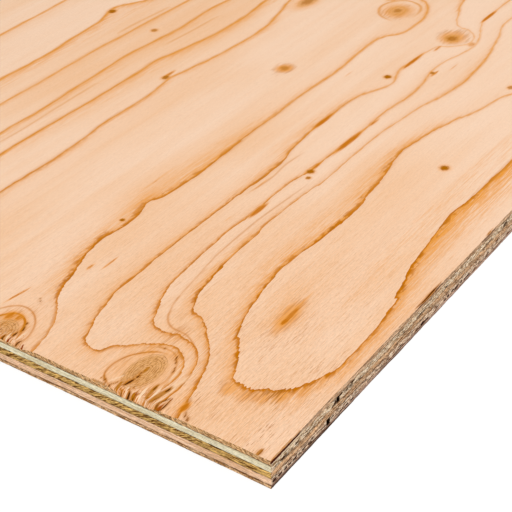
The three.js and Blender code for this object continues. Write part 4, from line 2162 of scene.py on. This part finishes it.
@dataclass
class PlywoodSheet:
    """Nine veneers glued with their grain crossed, the sheet's length along x."""

    far_knots: tuple[Knot, ...] = scattered_knots(5, 46)
    back_knots: tuple[Knot, ...] = scattered_knots(8, 40)
    core_cell: Point = (24.0, 24.0)
    outer_cell: Point = (15.25, 6.1)
    core_rows: tuple[float, ...] = (0.0, 0.06, 0.25, 0.5, 0.75, 0.94, 1.0)
    hidden: Material = field(init=False)

    def build(self) -> None:
        """Builds every veneer, the crossbands before the centre."""
        # Painted shade: the near-black sides make the core gaps read as deep shadow.
        self.hidden = GlueAndGapShade().material()
        self.build_face()
        self.build_crossbands()
        self.build_centre()
        self.build_back()

    def build_face(self) -> None:
        """Builds the face veneer."""
        levels = ply_levels("face_veneer")
        end = CutEdge(
            "face_end_cut", levels, (236, 188, 134), (156, 108, 58), (2.6, 0.6), slant=25, pits=0.3,
            chalk=0.1, glue=(0.0, 0.8))
        side = CutEdge(
            "face_side_cut", levels, (218, 178, 142), (150, 110, 76), (20, 0.6), pits=0.3, chalk=0.2,
            glue=(0.2, 0.6), mottle=(3, 0.6), pit_shade_colour=(74, 28, 8), spots=FACE_SIDE_SPOTS)
        finer = FACE_PATCHES + knot_patches(KNOTS[2:] + self.far_knots) + streak_patches(STREAKS)
        FaceVeneer(
            node="face_veneer", name="face_sheet", slot="face_veneer", cell=self.outer_cell,
            rows=(0.0, 0.05, 0.2, 0.4, 0.6, 0.8, 0.95, 1.0), patches=finer, seed=1,
            finishes=(PeeledFace().material(), end.material(), side.material(), self.hidden),
            rings=RingField(far_knots=self.far_knots), knots=KNOTS + self.far_knots,
        ).build()

    def build_crossbands(self) -> None:
        """Builds both crossbands, each in three strips.

        Their grain runs across the sheet, so their end grain shows on the long edges.
        """
        upper, lower = (ply_levels(f"{band}_crossband_strip_1") for band in ("upper", "lower"))
        end_marks = {"stroke": (5, 0.6), "depth": 0.3, "chalk_colour": (246, 230, 206)}
        side_marks = {"stroke": (30, 0.6), "mottle": (3, 0.5), "depth": 0.25}
        upper_cuts = (
            CutEdge(
                "upper_side_cut", upper, (242, 232, 200), (218, 202, 164), glue=(0.4, 0.8), **side_marks),
            CutEdge(
                "upper_end_cut", upper, (236, 206, 170), (146, 110, 72), pits=0.6, chalk=0.75,
                glue=(0.5, 0.4), spots=UPPER_SPOTS, **end_marks))
        lower_cuts = (
            CutEdge(
                "lower_side_cut", lower, (252, 212, 178), (226, 178, 136), glue=(0.4, 0.9), **side_marks),
            CutEdge(
                "lower_end_cut", lower, (234, 200, 168), (132, 90, 58), pits=0.55, chalk=0.65,
                glue=(0.5, 0.9), spots=LOWER_SPOTS, pit_shade_colour=(46, 16, 2), glue_and_floor_shade_colour=(92, 44, 18),
                **end_marks))
        for seed, band, cuts in ((31, "upper_crossband", upper_cuts), (38, "lower_crossband", lower_cuts)):
            side, end = (cut.material() for cut in cuts)
            for strip in range(1, 4):
                Veneer(
                    node=f"{band}_strip_{strip}", name=f"{band}_{strip}", slot="crossband_veneer",
                    cell=self.core_cell, rows=self.core_rows, patches=CORE_PATCHES, seed=seed + strip,
                    rough=0.2, finishes=(self.hidden, side, end, self.hidden),
                ).build()

    def build_centre(self) -> None:
        """Builds the centre veneer."""
        levels = ply_levels("centre_veneer")
        end = CutEdge(
            "centre_end_cut", levels, (240, 194, 114), (108, 62, 8), (5, 0.42), slant=-4, pits=0.2,
            glue=(0.5, 0.6), mottle=(4, 0.4), bend=(44.0, 0.42))
        side = CutEdge(
            "centre_side_cut", levels, (222, 174, 130), (130, 90, 56), (14, 0.6), pits=0.5, chalk=0.4,
            mottle=(2, 0.5))
        Veneer(
            node="centre_veneer", name="centre_sheet", slot="centre_veneer", cell=self.core_cell,
            rows=self.core_rows, patches=CORE_PATCHES, seed=51, rough=0.2,
            finishes=(self.hidden, end.material(), side.material(), self.hidden),
        ).build()

    def build_back(self) -> None:
        """Builds the back veneer."""
        levels = ply_levels("back_veneer")
        face = PeeledFace("peeled_back", pale=(238, 198, 160), peach=(226, 176, 130))
        # Painted shadow: each edge's bottom line darkens the sheet's foot where it meets the floor.
        end = CutEdge(
            "back_end_cut", levels, (242, 198, 150), (152, 100, 46), (8, 0.6), pits=0.5, chalk=0.2,
            glue=(0.9, 0.2), glue_and_floor_shade_colour=(120, 74, 24))
        side = CutEdge(
            "back_side_cut", levels, (206, 168, 146), (120, 86, 70), (30, 0.4), pits=0.3, chalk=0.1,
            glue=(0.9, 0.8), mottle=(5, 0.5), spots=BACK_SIDE_SPOTS)
        BackVeneer(
            node="back_veneer", name="back_sheet", slot="back_veneer", cell=self.outer_cell,
            rows=(0.0, 0.08, 0.35, 0.65, 0.92, 1.0), shown_below=True, seed=61,
            patches=BACK_PATCHES + knot_patches(self.back_knots),
            finishes=(face.material(), end.material(), side.material(), self.hidden),
            knots=self.back_knots,
        ).build()


def main() -> None:
    """Builds the studio and the sheet."""
    logging.basicConfig(level=logging.INFO, format="%(message)s")
    Studio().build()
    LOG.info("studio: camera, lamps and floor")
    PlywoodSheet().build()


if __name__ == "__main__":
    main()
